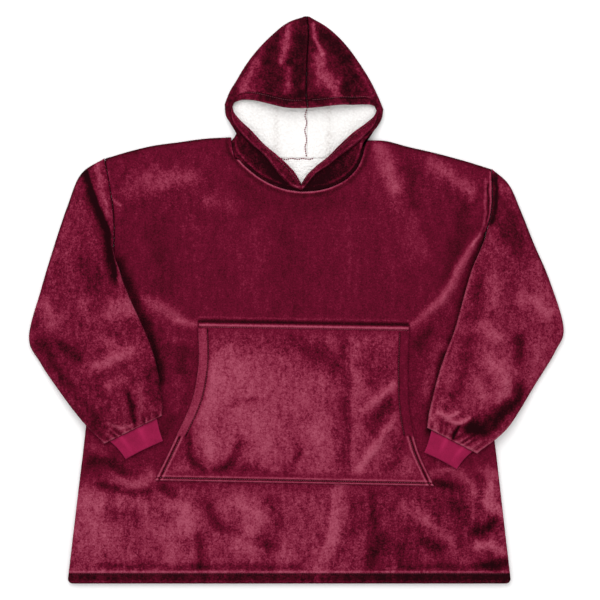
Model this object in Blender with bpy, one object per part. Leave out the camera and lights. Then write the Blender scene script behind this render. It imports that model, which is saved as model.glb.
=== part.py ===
# Wearable blanket hoodie, laid face up and flat: back, front, sleeves, cuffs, hood, linings and pocket.
# Metres, +Z up. The underside lies on Z = 0, +Y runs from the hem to the hood.
# +X is to the right as seen from above, and left and right are named the same way.

import bpy
import bmesh
import numpy as np

# Rows of a body panel, as shares of the way from the hem band to the shoulders
FRONT_ROWS = [0.08, 0.17, 0.26, 0.35, 0.44, 0.53, 0.61, 0.68, 0.74, 0.79, 0.84, 0.88, 0.92, 0.96]
BACK_ROWS = [0.20, 0.42, 0.62, 0.72, 0.79, 0.84, 0.88, 0.92, 0.96]

# Cloth thicknesses
CLOTH = 0.0065          # plush face and sherpa back, bonded
HOOD_OUTER = 0.003      # plush face alone, where the hood's own lining lies on it
HOOD_LINING = 0.005     # sherpa of the hood
NECK_LINING = 0.0025    # sherpa pile that shows inside the back neck
POCKET_LAY = 0.0005     # between the pocket and the front
POCKET_CLOTH = 0.0036
RIB_CLOTH = 0.0024      # knitted cuff
TURNED_HEM = 0.0075     # hem band of the hood's opening
LAY = 0.0003            # between layers and at seams
SEAM_SIDE = 0.0008      # beside curved seams
LIP = 0.0008            # cloth left at a rounded edge

# Lengths
HEM_Y = -0.568
EDGE_ROUND = 0.0057     # rounding of a panel's edge
HEM_BAND = 0.020
HEM_GROOVE = 0.0012     # where the hem's stitching draws the cloth in
FRONT_TOP = 2 * CLOTH + LAY
SLEEVE_WALL = 0.0063
SLEEVE_HALF = 0.0072    # half the thickness of a sleeve's folded edge
CUFF_END_HALF = 0.0056  # the same where the sleeve is gathered into its cuff
CUFF_END_WALL = 0.0048
CUFF_LENGTH = 0.047
POCKET_BAND = 0.018     # turned band along a pocket opening
POCKET_EDGE = 0.0025
POCKET_LENGTH = 0.345   # from its top edge down to its bottom edge
BAND_RAISE = 0.0013

SLEEVE_CLEAR = 0.014    # flat front beside a sleeve
SLEEVE_RAMP = 0.030     # over which the front's folds reach their height beyond it
BELOW_SLEEVES_Y = -0.275

# Where a sleeve climbs from the floor on to the front
CLIMB_FULL = 0.022      # outside the side seam, where it is fully up
CLIMB_LENGTH = 0.048
ROOF_LENGTH = 0.110     # the upper wall climbs over a longer way

# Side seams: y, x
SIDE_LEFT = [(-0.568, -0.458), (-0.316, -0.428), (0.000, -0.387), (0.096, -0.366),
             (0.168, -0.365), (0.226, -0.372), (0.283, -0.383)]
SIDE_RIGHT = [(-0.568, 0.431), (-0.316, 0.402), (0.000, 0.367), (0.120, 0.377),
              (0.180, 0.391), (0.220, 0.393), (0.262, 0.391)]
# Shoulders from the armhole to the neck: x, y
SHOULDER_LEFT = [(-0.383, 0.283), (-0.336, 0.297), (-0.286, 0.309), (-0.235, 0.316),
                 (-0.184, 0.323), (-0.131, 0.326)]
SHOULDER_RIGHT = [(0.141, 0.320), (0.176, 0.319), (0.224, 0.307), (0.280, 0.294),
                  (0.336, 0.279), (0.391, 0.262)]
# Front neck seam, shoulder to centre front to shoulder, and back neck seam: x, y
NECK_LEFT = [(-0.130, 0.322), (-0.127, 0.302), (-0.112, 0.280), (-0.088, 0.257),
             (-0.060, 0.238), (-0.026, 0.224), (0.011, 0.218)]
NECK_RIGHT = [(0.140, 0.318), (0.135, 0.296), (0.126, 0.272), (0.108, 0.249),
              (0.082, 0.232), (0.048, 0.221), (0.011, 0.218)]
BACK_NECK = [(-0.130, 0.322), (-0.112, 0.302), (-0.080, 0.288), (-0.030, 0.284), (0.022, 0.284),
             (0.068, 0.284), (0.104, 0.293), (0.126, 0.304), (0.140, 0.318)]

# Sleeve sections from armhole to cuff: outer fold x, y, inner fold x, y, rise of the upper wall
SLEEVES = {
    "left": [(-0.3845, 0.284, -0.3670, 0.100, 0.000),
             (-0.431, 0.252, -0.362, 0.084, 0.009),
             (-0.459, 0.185, -0.355, 0.066, 0.012),
             (-0.486, 0.104, -0.346, 0.038, 0.012),
             (-0.510, 0.024, -0.330, -0.002, 0.011),
             (-0.535, -0.074, -0.306, -0.054, 0.010),
             (-0.512, -0.126, -0.286, -0.105, 0.010),
             (-0.472, -0.185, -0.274, -0.154, 0.010),
             (-0.424, -0.246, -0.267, -0.204, 0.009),
             (-0.383, -0.287, -0.268, -0.231, 0.003)],
    "right": [(0.3928, 0.263, 0.3790, 0.124, 0.000),
              (0.426, 0.232, 0.372, 0.108, 0.009),
              (0.449, 0.182, 0.363, 0.088, 0.012),
              (0.477, 0.112, 0.351, 0.060, 0.012),
              (0.507, 0.042, 0.338, 0.016, 0.011),
              (0.536, -0.054, 0.317, -0.060, 0.010),
              (0.520, -0.102, 0.300, -0.104, 0.010),
              (0.480, -0.168, 0.284, -0.152, 0.010),
              (0.424, -0.255, 0.267, -0.220, 0.009),
              (0.362, -0.307, 0.262, -0.255, 0.003)],
}
# y where a sleeve starts to climb beside the armhole, and where it is up
CLIMB_START = {"left": 0.144, "right": 0.170}
CLIMB_END = {"left": 0.104, "right": 0.128}

# Hood, flattened front to back: outline from the peak to the opening's corner and on to the shoulder, x, y
HOOD_OUTLINE = {
    "left": [(0.014, 0.567), (-0.014, 0.557), (-0.050, 0.529), (-0.080, 0.498), (-0.103, 0.467),
             (-0.118, 0.442), (-0.134, 0.415), (-0.143, 0.392)],
    "right": [(0.028, 0.567), (0.063, 0.546), (0.089, 0.523), (0.114, 0.493), (0.135, 0.462),
              (0.150, 0.437), (0.166, 0.404), (0.175, 0.382)],
}
HOOD_CHEEK = {
    "left": [(-0.143, 0.392), (-0.140, 0.368), (-0.128, 0.350), (-0.119, 0.337), (-0.123, 0.327),
             (-0.1285, 0.320)],
    "right": [(0.175, 0.382), (0.172, 0.364), (0.162, 0.346), (0.146, 0.331), (0.139, 0.323),
              (0.1385, 0.316)],
}
CROWN_SEAM = [(0.021, 0.568), (0.024, 0.549), (0.022, 0.485),
              (0.021, 0.447), (0.021, 0.401), (0.024, 0.383)]
BACK_SEAM_X = 0.022
BACK_TURN_Y = 0.386             # on the back seam, level with the opening's corners
LINING_INSETS = (0.0085, 0.026)  # of the lining from the hood's outline, at the crown and at the neck
LINING_ROUND = 0.0038
CENTRE_FRONT_X = 0.011
# Forehead edge of the opening, from its corner to the crown seam: x, y
FOREHEAD = {
    "left": [(-0.127, 0.387), (-0.118, 0.395), (-0.093, 0.400), (-0.070, 0.396), (-0.047, 0.390),
             (-0.019, 0.384), (0.024, 0.383)],
    "right": [(0.161, 0.379), (0.155, 0.386), (0.140, 0.390), (0.114, 0.390), (0.089, 0.390),
              (0.063, 0.387), (0.024, 0.383)],
}
# Lower edge of the opening, from its corner to the point of the V, and the hem band's other edge: x, y
OPENING = {
    "left": [(-0.127, 0.387), (-0.115, 0.365), (-0.090, 0.340), (-0.064, 0.312), (-0.039, 0.291),
             (-0.019, 0.273), (-0.003, 0.256), (0.0108, 0.233)],
    "right": [(0.161, 0.379), (0.140, 0.355), (0.114, 0.335), (0.089, 0.312), (0.063, 0.286),
              (0.038, 0.266), (0.020, 0.248), (0.0112, 0.233)],
}
BAND_EDGE = {
    "left": [(-0.130, 0.384), (-0.126, 0.356), (-0.114, 0.338), (-0.090, 0.312), (-0.064, 0.290),
             (-0.049, 0.271), (-0.029, 0.245), (-0.010, 0.228), (0.0108, 0.2195)],
    "right": [(0.164, 0.375), (0.158, 0.352), (0.140, 0.330), (0.114, 0.307), (0.089, 0.289),
              (0.063, 0.268), (0.038, 0.251), (0.022, 0.231), (0.0112, 0.2195)],
}
HOOD_EDGE_HALF = 0.0080     # half the thickness of the hood's folded edge
NECK_EDGE_HALF = 0.0065
CROWN_RISE = 0.015          # the crown stands this much above its folded edge
CROWN_REACH = 0.110         # over this width
CORNER_REACH = 0.016        # cloth from the outline to the opening's corner
CRESCENT_TOP = 0.0155       # hood between the neck seam and its hem band
BAND_TOP = 0.0235
V_TOP = 0.0205

# Pocket sides from top to bottom: x, y
POCKET_LEFT = [(-0.196, -0.043), (-0.196, -0.138), (-0.207, -0.197), (-0.239, -0.271), (-0.282, -0.361)]
POCKET_RIGHT = [(0.227, -0.050), (0.224, -0.149), (0.226, -0.212), (0.241, -0.292), (0.276, -0.372)]

# Largest folds: start x, y, end x, y, height, half width
FRONT_FOLDS = [(0.352, 0.096, 0.322, 0.056, 0.0075, 0.015),
               (0.322, 0.056, 0.282, -0.006, 0.0090, 0.016),
               (0.282, -0.006, 0.264, -0.020, 0.0060, 0.014),
               (-0.290, 0.004, -0.236, -0.024, 0.0060, 0.016),
               (-0.180, 0.190, -0.215, 0.060, 0.0035, 0.026),
               (0.215, 0.215, 0.235, 0.100, 0.0035, 0.026),
               (-0.330, -0.400, -0.300, -0.520, 0.0035, 0.024),
               (0.330, -0.440, 0.345, -0.520, 0.0035, 0.024),
               (-0.060, -0.440, -0.030, -0.520, 0.0030, 0.028)]
POCKET_FOLDS = [(0.185, -0.170, 0.140, -0.216, 0.0045, 0.014),
                (0.190, -0.226, 0.115, -0.335, 0.0045, 0.014),
                (-0.195, -0.300, -0.150, -0.345, 0.0035, 0.014),
                (-0.110, -0.180, -0.070, -0.260, 0.0030, 0.022)]

# name: base colour, roughness
FINISHES = {
    "plush": ((0.147, 0.008, 0.026, 1.0), 0.75),
    "sherpa": ((0.87, 0.83, 0.79, 1.0), 0.9),
    "rib": ((0.28, 0.012, 0.058, 1.0), 0.8),
}


def through(keys, values):
    """A smooth curve through values at rising keys, as a function of the key."""
    keys = np.asarray(keys, float)
    values = np.asarray(values, float)
    slopes = np.gradient(values, keys, axis=0)

    def at(key):
        key = np.clip(np.asarray(key, float), keys[0], keys[-1])
        i = np.clip(np.searchsorted(keys, key, side="right") - 1, 0, len(keys) - 2)
        width = keys[i + 1] - keys[i]
        f = (key - keys[i]) / width
        if values.ndim > 1:
            f = f[..., None]
            width = width[..., None]
        a = 2 * f**3 - 3 * f**2 + 1
        b = f**3 - 2 * f**2 + f
        c = f**3 - f**2
        return a * values[i] + b * width * slopes[i] + (1 - a) * values[i + 1] + c * width * slopes[i + 1]

    return at


def along(points):
    """A smooth curve through points, as a function of the share of its length."""
    points = np.asarray(points, float)
    steps = np.linalg.norm(np.diff(points[:, :2], axis=0), axis=1)
    keys = np.concatenate([[0.0], np.cumsum(steps)])
    return through(keys / keys[-1], points)


def over(table):
    keys, values = np.asarray(table, float).T
    return through(keys, values)


def ease(x):
    x = np.clip(x, 0.0, 1.0)
    return x * x * (3 - 2 * x)


def mix(a, b, f):
    return a + (b - a) * f


def round_drop(distance, radius):
    """How far a rounded edge falls below its panel, at a distance from the edge."""
    near = np.clip(radius - distance, 0.0, radius)
    return radius - np.sqrt(radius**2 - near**2)


def fold_height(x, y, folds):
    """Height of soft ridges along short lines."""
    total = np.zeros_like(x)
    for x0, y0, x1, y1, height, half in folds:
        length = np.hypot(x1 - x0, y1 - y0)
        ux, uy = (x1 - x0) / length, (y1 - y0) / length
        run = (x - x0) * ux + (y - y0) * uy
        past = run - np.clip(run, 0.0, length)
        side = (y - y0) * ux - (x - x0) * uy
        total = np.maximum(total, height * np.exp(-(side**2 + past**2) / (half * half)))
    return total


side_left = over(SIDE_LEFT)
side_right = over(SIDE_RIGHT)


def make_mesh_object(name, finish, points, faces):
    mesh = bpy.data.meshes.new(name)
    mesh.from_pydata([tuple(p) for p in points], [], faces)
    bm = bmesh.new()
    bm.from_mesh(mesh)
    bmesh.ops.recalc_face_normals(bm, faces=bm.faces)
    bm.to_mesh(mesh)
    bm.free()
    colour, roughness = FINISHES[finish]
    material = bpy.data.materials.new(name + "_" + finish)
    material.use_nodes = True
    shader = material.node_tree.nodes["Principled BSDF"]
    shader.inputs["Base Color"].default_value = colour
    shader.inputs["Roughness"].default_value = roughness
    shader.inputs["Metallic"].default_value = 0.0
    mesh.materials.append(material)
    mesh.shade_smooth()
    piece = bpy.data.objects.new(name, mesh)
    collection.objects.link(piece)
    return piece


def wall(name, finish, outer, inner, keep=None, closed=False):
    """A closed wall between two grids of points, with a rim wherever the kept cells end."""
    rows, columns = outer.shape[:2]
    spans = columns if closed else columns - 1
    if keep is None:
        keep = np.ones((rows - 1, spans), bool)
    number = {}
    points = []

    def point(side, row, column):
        key = (side, row, column % columns)
        if key not in number:
            number[key] = len(points)
            points.append((outer, inner)[side][row, column % columns])
        return number[key]

    def kept(row, column):
        if closed:
            column %= columns
        return 0 <= row < rows - 1 and 0 <= column < spans and keep[row, column]

    faces = []
    for r in range(rows - 1):
        for c in range(spans):
            if not kept(r, c):
                continue
            corners = [(r, c), (r, c + 1), (r + 1, c + 1), (r + 1, c)]
            faces.append([point(0, *p) for p in corners])
            faces.append([point(1, *p) for p in reversed(corners)])
            beside = [(r - 1, c), (r, c + 1), (r + 1, c), (r, c - 1)]
            for i, cell in enumerate(beside):
                if not kept(*cell):
                    a, b = corners[i], corners[(i + 1) % 4]
                    faces.append([point(0, *b), point(0, *a), point(1, *a), point(1, *b)])
    return make_mesh_object(name, finish, points, faces)


def grid(x, y, z):
    return np.stack([x, y, z], axis=-1)


def body_plan(top_edge, columns, shares_up):
    """Plan of a body panel: x and y of its grid, and each point's distance from the side, hem and top."""
    side_steps = np.array([0.0, 0.0017, EDGE_ROUND])
    left_end, right_end = SIDE_LEFT[-1][1], SIDE_RIGHT[-1][1]
    top_x = np.concatenate([left_end + side_steps, columns, (right_end - side_steps)[::-1]])
    top_y = top_edge(top_x)
    hem_steps = np.array([0.0, 0.0017, EDGE_ROUND, HEM_BAND - 0.002, HEM_BAND, HEM_BAND + 0.002])
    upper_steps = np.array([EDGE_ROUND, 0.0017, 0.0])
    low = HEM_Y + hem_steps[:, None] + 0 * top_y
    high = top_y - upper_steps[:, None]
    middle = mix(low[-1], high[0], np.array(shares_up)[:, None])
    y = np.concatenate([low, middle, high])
    left, right = side_left(y), side_right(y)
    left_top, right_top = side_left(top_y), side_right(top_y)
    share = (top_x - left_top) / (right_top - left_top)
    x = mix(left, right, share)
    n = len(side_steps)
    x[:, :n] = left[:, :n] + side_steps
    x[:, -n:] = right[:, -n:] - side_steps[::-1]
    from_side = np.minimum(x - left, right - x)
    return x, y, from_side, y - HEM_Y, top_y - y


def clear_of_sleeves(x, y):
    """1 where the front is free, falling to 0 where a sleeve lies on it."""
    free = np.ones_like(x)
    for side, sign, seam in (("left", 1, side_left), ("right", -1, side_right)):
        table = np.array(SLEEVES[side])[:, 2:4]
        under = np.interp(-y, -table[:, 1], table[:, 0])
        under = np.where(y > table[0, 1], seam(y), under)
        free = free * ease((sign * (x - under) - SLEEVE_CLEAR) / SLEEVE_RAMP)
    return np.where(y < BELOW_SLEEVES_Y, 1.0, free)


def clear_of_pocket(x, y):
    """1 where the front is free, falling to 0 where the pocket lies on it."""
    top = POCKET_LEFT[0][1]
    beside = np.maximum(POCKET_LEFT[-1][0] - x, x - POCKET_RIGHT[-1][0])
    above = np.maximum(y - top, POCKET_RIGHT[-1][1] - y)
    return ease((np.maximum(beside, above) - 0.004) / 0.020)


def front_lift(x, y):
    return fold_height(x, y, FRONT_FOLDS) * clear_of_sleeves(x, y) * clear_of_pocket(x, y)


def neck_edge(x):
    left = through(*zip(*NECK_LEFT))
    right = through(*zip(*NECK_RIGHT[::-1]))
    return np.where(x < NECK_LEFT[-1][0], left(x), right(x))


def front_top_edge(x):
    """Shoulders and front neckline, as y over x."""
    shoulder = np.where(x < 0, over(SHOULDER_LEFT)(x), over(SHOULDER_RIGHT)(x))
    in_neck = (x > NECK_LEFT[0][0] - 1e-6) & (x < NECK_RIGHT[0][0] + 1e-6)
    return np.where(in_neck, neck_edge(x) - SEAM_SIDE, shoulder)


def back_neck_edge(x):
    return np.interp(x, *zip(*BACK_NECK))


def back_top_edge(x):
    shoulder = np.where(x < 0, over(SHOULDER_LEFT)(x), over(SHOULDER_RIGHT)(x))
    in_neck = (x > BACK_NECK[0][0] - 1e-6) & (x < BACK_NECK[-1][0] + 1e-6)
    return np.where(in_neck, back_neck_edge(x) - SEAM_SIDE, shoulder)


def make_front():
    neck = [p[0] for p in NECK_LEFT] + [p[0] for p in NECK_RIGHT[-2::-1]]
    columns = np.concatenate([np.linspace(-0.355, -0.150, 7), neck, np.linspace(0.162, 0.365, 7)])
    x, y, from_side, from_hem, from_top = body_plan(front_top_edge, columns, FRONT_ROWS)
    rounding = round_drop(np.minimum(np.minimum(from_side, from_hem), from_top), EDGE_ROUND)
    under = CLOTH + LAY + front_lift(x, y)
    groove = HEM_GROOVE * (np.abs(from_hem - HEM_BAND) < 0.001)
    wall("front", "plush", grid(x, y, under + CLOTH - np.maximum(rounding, groove)), grid(x, y, under))


def make_back():
    neck = [p[0] for p in BACK_NECK]
    columns = np.concatenate([np.linspace(-0.330, -0.180, 3), neck, np.linspace(0.190, 0.340, 3)])
    x, y, from_side, from_hem, from_top = body_plan(back_top_edge, columns, BACK_ROWS)
    at_neck = (x > BACK_NECK[0][0] - 0.004) & (x < BACK_NECK[-1][0] + 0.004)
    from_top = np.where(at_neck, EDGE_ROUND, from_top)
    rounding = round_drop(np.minimum(np.minimum(from_side, from_hem), from_top), EDGE_ROUND)
    wall("back", "plush", grid(x, y, CLOTH + 0 * x), grid(x, y, rounding))


def pocket_plan():
    """Plan of the pocket, with each point's distance from its sides and its ends."""
    left, right = along(POCKET_LEFT), along(POCKET_RIGHT)
    edge = np.array([0.0, POCKET_EDGE])
    length = POCKET_LENGTH
    down = np.concatenate([edge, [0.009], np.linspace(0.030, length - 0.030, 8), [length - 0.009],
                           length - edge[::-1]])
    a, b = left(down / length), right(down / length)
    width = np.linalg.norm(b - a, axis=1)[:, None]
    steps = np.array([0.0, POCKET_EDGE, POCKET_BAND - 0.0015, POCKET_BAND + 0.0015])
    inside = mix(steps[-1], width - steps[-1], np.linspace(0.0, 1.0, 11)[None, 1:-1])
    across = np.concatenate([steps + 0 * width, inside, width - steps[::-1]], axis=1)
    share = (across / width)[..., None]
    plan = mix(a[:, None], b[:, None], share)
    return plan[..., 0], plan[..., 1], np.minimum(across, width - across), down[:, None], length


def make_pocket():
    x, y, from_side, down, length = pocket_plan()
    from_end = np.minimum(down, length - down) + 0 * x
    rounding = round_drop(np.minimum(from_side, from_end), POCKET_EDGE)
    inside = ease((np.minimum(from_side, from_end) - POCKET_BAND) / 0.025)
    lift = fold_height(x, y, POCKET_FOLDS) * inside
    raised = BAND_RAISE * (from_side < POCKET_BAND)
    under = FRONT_TOP + POCKET_LAY + front_lift(x, y) + lift
    wall("pocket", "plush", grid(x, y, under + POCKET_CLOTH + raised - rounding), grid(x, y, under))


def climb(side, x, y, full, length):
    """Height of what lies under a sleeve: the front inside the side seam, down to the floor outside it."""
    outside = side_left(y) - x if side == "left" else x - side_right(y)
    slope = ease(1 - (outside - full) / length)
    start, end = CLIMB_START[side], CLIMB_END[side]
    beside_armhole = ease((start - y) / (start - end))
    return (FRONT_TOP + LAY) * slope * beside_armhole


def tube(name, finish, line, width, across_count, thickness, side, roof_full, roof_length):
    """A flattened tube. line gives plan points over rows and shares, thickness the half, wall and rise."""
    half, cloth, rise = thickness
    rows = len(width)
    width = width[:, None]
    half = np.broadcast_to(half, rows)[:, None]
    cloth = np.broadcast_to(cloth, rows)[:, None]
    rise = np.broadcast_to(rise, rows)[:, None]
    middle = np.linspace(0.0, 1.0, across_count)[None, :]
    steps = np.concatenate([0 * width, 0.3 * half, mix(half, width - half, middle),
                            width - 0.3 * half, width], axis=1)
    arch = rise * ease(np.minimum(steps, width - steps) / (0.35 * width))
    circle = half - round_drop(np.minimum(steps, width - steps), half)

    def place(distance, height):
        x, y = line(distance / width)
        return grid(x, y, height(x, y))

    def floor_at(x, y):
        return climb(side, x, y, CLIMB_FULL, CLIMB_LENGTH)

    def roof_at(x, y):
        return climb(side, x, y, roof_full, roof_length)

    upper = place(steps, lambda x, y: roof_at(x, y) + half + circle + arch)
    lower = place(steps, lambda x, y: floor_at(x, y) + half - circle)
    inset = mix(cloth, width - cloth, steps / width)
    part = np.sqrt(np.clip(np.minimum(inset - cloth, width - cloth - inset) / 0.003, 0.02, 1.0))
    upper_in = place(inset, lambda x, y: roof_at(x, y) + 2 * half + arch - cloth)
    lower_in = place(inset, lambda x, y: floor_at(x, y) + cloth)
    centre = (upper_in[..., 2] + lower_in[..., 2]) / 2
    upper_in[..., 2] = mix(centre, upper_in[..., 2], part)
    lower_in[..., 2] = mix(centre, lower_in[..., 2], part)

    def ring(top, bottom):
        top = top.copy()
        for end in (0, -1):
            top[:, end, 2] = (top[:, end, 2] + bottom[:, end, 2]) / 2
        return np.concatenate([top, bottom[:, -2:0:-1]], axis=1)

    return wall(name, finish, ring(upper, lower), ring(upper_in, lower_in), closed=True)


def make_sleeve(side):
    table = np.array(SLEEVES[side])
    outer, inner = through(range(len(table)), table[:, :2]), through(range(len(table)), table[:, 2:4])
    rise = through(range(len(table)), table[:, 4])
    stations = np.array([0, 0.35, 0.8, 1.3, 2, 2.7, 3.4, 4.2, 5, 5.7, 6.4, 7.0, 7.6, 8.2, 8.7, 9])
    start, end = outer(stations), inner(stations)
    seam = side_left if side == "left" else side_right
    away = -SEAM_SIDE if side == "left" else SEAM_SIDE
    bow_share = np.clip(1 - stations / 1.3, 0.0, 1.0)[:, None]

    def line(share):
        x = mix(start[:, :1], end[:, :1], share)
        y = mix(start[:, 1:], end[:, 1:], share)
        first_y = mix(start[0, 1], end[0, 1], share)
        bow = seam(first_y) + away - mix(start[0, 0], end[0, 0], share)
        return x + bow * bow_share, y

    width = np.linalg.norm(end - start, axis=1)
    near_cuff = ease((stations - 8) / 1.0)
    half = mix(SLEEVE_HALF, CUFF_END_HALF, near_cuff)
    cloth = mix(SLEEVE_WALL, CUFF_END_WALL, near_cuff)
    tube("sleeve_" + side, "plush", line, width, 9, (half, cloth, np.clip(rise(stations), 0, None)), side,
         0.0, ROOF_LENGTH)


def make_cuff(side):
    last = np.array(SLEEVES[side][-1])
    a, b = last[:2], last[2:4]
    across = (b - a) / np.linalg.norm(b - a)
    onward = np.array([across[1], -across[0]]) if side == "left" else np.array([-across[1], across[0]])
    top = [mix(a, b, 0.09) + onward * 0.0006, mix(a, b, 0.91) + onward * 0.0006]
    low = [mix(a, b, 0.19) + onward * CUFF_LENGTH, mix(a, b, 0.84) + onward * CUFF_LENGTH]
    share = np.array([0.0, 0.12, 0.5, 0.88, 1.0])[:, None]
    start, end = mix(top[0], low[0], share), mix(top[1], low[1], share)

    def line(across_share):
        return (mix(start[:, :1], end[:, :1], across_share), mix(start[:, 1:], end[:, 1:], across_share))

    width = np.linalg.norm(end - start, axis=1)
    tube("cuff_" + side, "rib", line, width, 7, (0.0031, RIB_CLOTH, 0.0022), side, 0.0, ROOF_LENGTH)


def line_between(a, b, distance):
    """Points at distances from a towards b, one row for each pair."""
    length = np.linalg.norm(b - a, axis=1)[:, None, None]
    return mix(a[:, None], b[:, None], distance[..., None] / length)


def hood_rows(side):
    """Rows of the hood from its peak to the neck: outline, back seam and shares of crown and cheek."""
    crown = np.array([0.0, 0.10, 0.24, 0.40, 0.56, 0.72, 0.86, 0.955, 1.0])
    cheek = np.array([0.12, 0.27, 0.42, 0.58, 0.74, 0.88, 1.0])
    outline = np.concatenate([along(HOOD_OUTLINE[side])(crown), along(HOOD_CHEEK[side])(cheek)])
    back_y = np.concatenate([mix(CROWN_SEAM[0][1], BACK_TURN_Y, crown),
                             mix(BACK_TURN_Y, BACK_NECK[4][1], cheek)])
    sign = -1 if side == "left" else 1
    back = np.stack([BACK_SEAM_X + sign * LAY / 2 + 0 * back_y, back_y], axis=1)
    return crown, cheek, outline, back


def back_layer(side, shares, outline, back, cheek, inset):
    """Plan points of the hood's back layer, from its centre seam to a distance inside the outline."""
    length = np.linalg.norm(outline - back, axis=1)[:, None]
    plan = line_between(back, outline, shares * (length - inset))
    neck_x = mix(back[-1, 0], outline[-1, 0], shares * (1 - inset[-1] / length[-1]))
    drop = back_neck_edge(neck_x) + SEAM_SIDE / 2 - plan[-1, :, 1]
    rows = len(outline)
    weight = np.zeros(rows)
    weight[rows - len(cheek):] = cheek**2
    plan[..., 1] += weight[:, None] * drop
    return plan


def make_hood_half(side):
    sign = -1 if side == "left" else 1
    crown, cheek, outline, back = hood_rows(side)
    n_crown, n_cheek = len(crown), len(cheek)
    rows = n_crown + n_cheek
    half = mix(HOOD_EDGE_HALF, NECK_EDGE_HALF, np.concatenate([1 - ease(crown / 0.3), cheek]))[:, None]

    # back layer, flat on the ground, and its folded edge
    neck_x = np.array([p[0] for p in BACK_NECK])
    neck_x = neck_x[4:0:-1] if side == "left" else neck_x[4:-1]
    fold_start = outline[-1, 0] - sign * NECK_EDGE_HALF
    back_shares = np.append((neck_x - BACK_SEAM_X) / (fold_start - BACK_SEAM_X), 1.0)
    lower = back_layer(side, back_shares[None] + 0 * half, outline, back, cheek, half)
    lower_out = grid(lower[..., 0], lower[..., 1], 0 * lower[..., 0])
    lower_in = grid(lower[..., 0], lower[..., 1], HOOD_OUTER + 0 * lower[..., 0])

    # upper layer: cheek columns, then crown columns to the seam
    neck = np.array(NECK_LEFT if side == "left" else NECK_RIGHT)
    neck_shares = np.linspace(0, 1, len(neck))[1:]
    band, opening = along(BAND_EDGE[side]), along(OPENING[side])
    forehead, seam = along(FOREHEAD[side]), along(CROWN_SEAM)
    seam_points = seam(crown) + np.array([sign * LAY / 2, 0.0])
    cheek_reach = np.linspace(0.0, 1.0, len(neck_shares) + 4)

    to_seam = np.linalg.norm(seam_points - outline[:n_crown], axis=1)[:, None]
    reach = np.minimum(CORNER_REACH, 0.45 * to_seam)
    fold = np.minimum(half[:n_crown], 0.5 * reach)
    crown_cheek = line_between(outline[:n_crown], seam_points, mix(fold, reach, cheek_reach[None]))
    crown_shares = np.array([0.16, 0.36, 0.56, 0.76, 0.93, 1.0])
    crown_cols = line_between(outline[:n_crown], seam_points, mix(reach, to_seam, crown_shares[None]))
    # the last crown rows bend towards the forehead edge
    edge = forehead(np.concatenate([[0.0], crown_shares]))
    edge[-1] = seam_points[-1]
    straight = np.concatenate([crown_cheek[-1, -1:], crown_cols[-1]])
    bend = (edge - straight)[None] * (crown**5)[:, None, None]
    crown_cols += bend[:, 1:]
    crown_cheek += bend[:, :1] * (cheek_reach[None, :, None])

    band_points, edge_points = band(cheek)[:, None], opening(cheek)[:, None]
    start = line_between(outline[n_crown:], band_points[:, 0], half[n_crown:])
    neck_line = neck[1:].copy()
    neck_line[-1] = band_points[-1, 0]
    towards = np.array([[CENTRE_FRONT_X, 0.300]]) - neck_line
    neck_line += towards / np.linalg.norm(towards, axis=1)[:, None] * SEAM_SIDE / 2
    neck_line[-1] = band_points[-1, 0]
    crescent = mix(start, band_points, neck_shares[None, :, None])
    bow = neck_line - mix(start[-1], band_points[-1], neck_shares[:, None])
    crescent = crescent + bow[None] * (cheek**2)[:, None, None]
    band_cols = mix(band_points, edge_points, np.array([0.12, 0.80, 1.0])[None, :, None])
    cheek_cols = np.concatenate([start, crescent, band_cols], axis=1)

    upper = np.concatenate([crown_cheek, cheek_cols])
    distance = np.linalg.norm(upper - outline[:, None], axis=2)
    top = 2 * half + CROWN_RISE * ease(distance / CROWN_REACH)
    room = np.linalg.norm(band_points - outline[n_crown:, None], axis=2)
    valley = ease(room / 0.035)
    n_cres = len(neck_shares)
    crescent_top = mix(CRESCENT_TOP, FRONT_TOP, ease((cheek - 0.88) / 0.12))[:, None]
    top[n_crown:, 1:n_cres + 1] = mix(top[n_crown:, 1:n_cres + 1], crescent_top, valley)
    band_height = mix(BAND_TOP, V_TOP, ease((cheek - 0.7) / 0.3))[:, None]
    band_height = mix(top[n_crown - 1, -1] + 0.001, band_height, ease(cheek[:, None] / 0.35))
    top[n_crown:, n_cres + 1:] = band_height
    cloth = mix(HOOD_OUTER, CLOTH - 0.0010, ease(distance / 0.02)) + 0 * top
    cloth[n_crown:, n_cres + 1:] = TURNED_HEM
    cloth[-1, :n_cres + 1] = CLOTH - LIP

    crown_distance = np.linalg.norm(crown_cols - outline[:n_crown, None], axis=2)
    crown_top = 2 * half[:n_crown] + CROWN_RISE * ease(crown_distance / CROWN_REACH)
    crown_top[:, -1] -= 0.0020
    crown_cloth = mix(CLOTH - 0.0010, TURNED_HEM, ease((crown - 0.80) / 0.1))[:, None] + 0 * crown_top

    def rounded(top_z, thick, amount):
        """Both faces drawn together where the cloth ends."""
        middle = top_z - thick / 2
        return mix(top_z, middle + LIP, amount), mix(top_z - thick, middle - LIP, amount)

    amount = np.zeros_like(top)
    amount[n_crown - 1:, -1] = 1.0
    crown_amount = np.zeros_like(crown_top)
    crown_amount[n_crown - 1] = 1.0
    top_out, top_in = rounded(top, cloth, amount)
    crown_out, crown_in = rounded(crown_top, crown_cloth, crown_amount)

    # folded edge between the layers, as a half circle
    angles = np.radians([-48.0, 0.0, 48.0])
    towards_in = upper[:, :1] - outline[:, None]
    towards_in /= np.linalg.norm(towards_in, axis=2)[..., None]
    bend_plan = outline[:, None] + towards_in * (half * (1 - np.cos(angles)))[..., None]
    bend_z = half + half * np.sin(angles)
    inner_half = np.maximum(half - HOOD_OUTER * 1.3, 0.0012)
    inner_plan = outline[:, None] + towards_in * (half - inner_half * np.cos(angles))[..., None]
    inner_z = half + inner_half * np.sin(angles)

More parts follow.
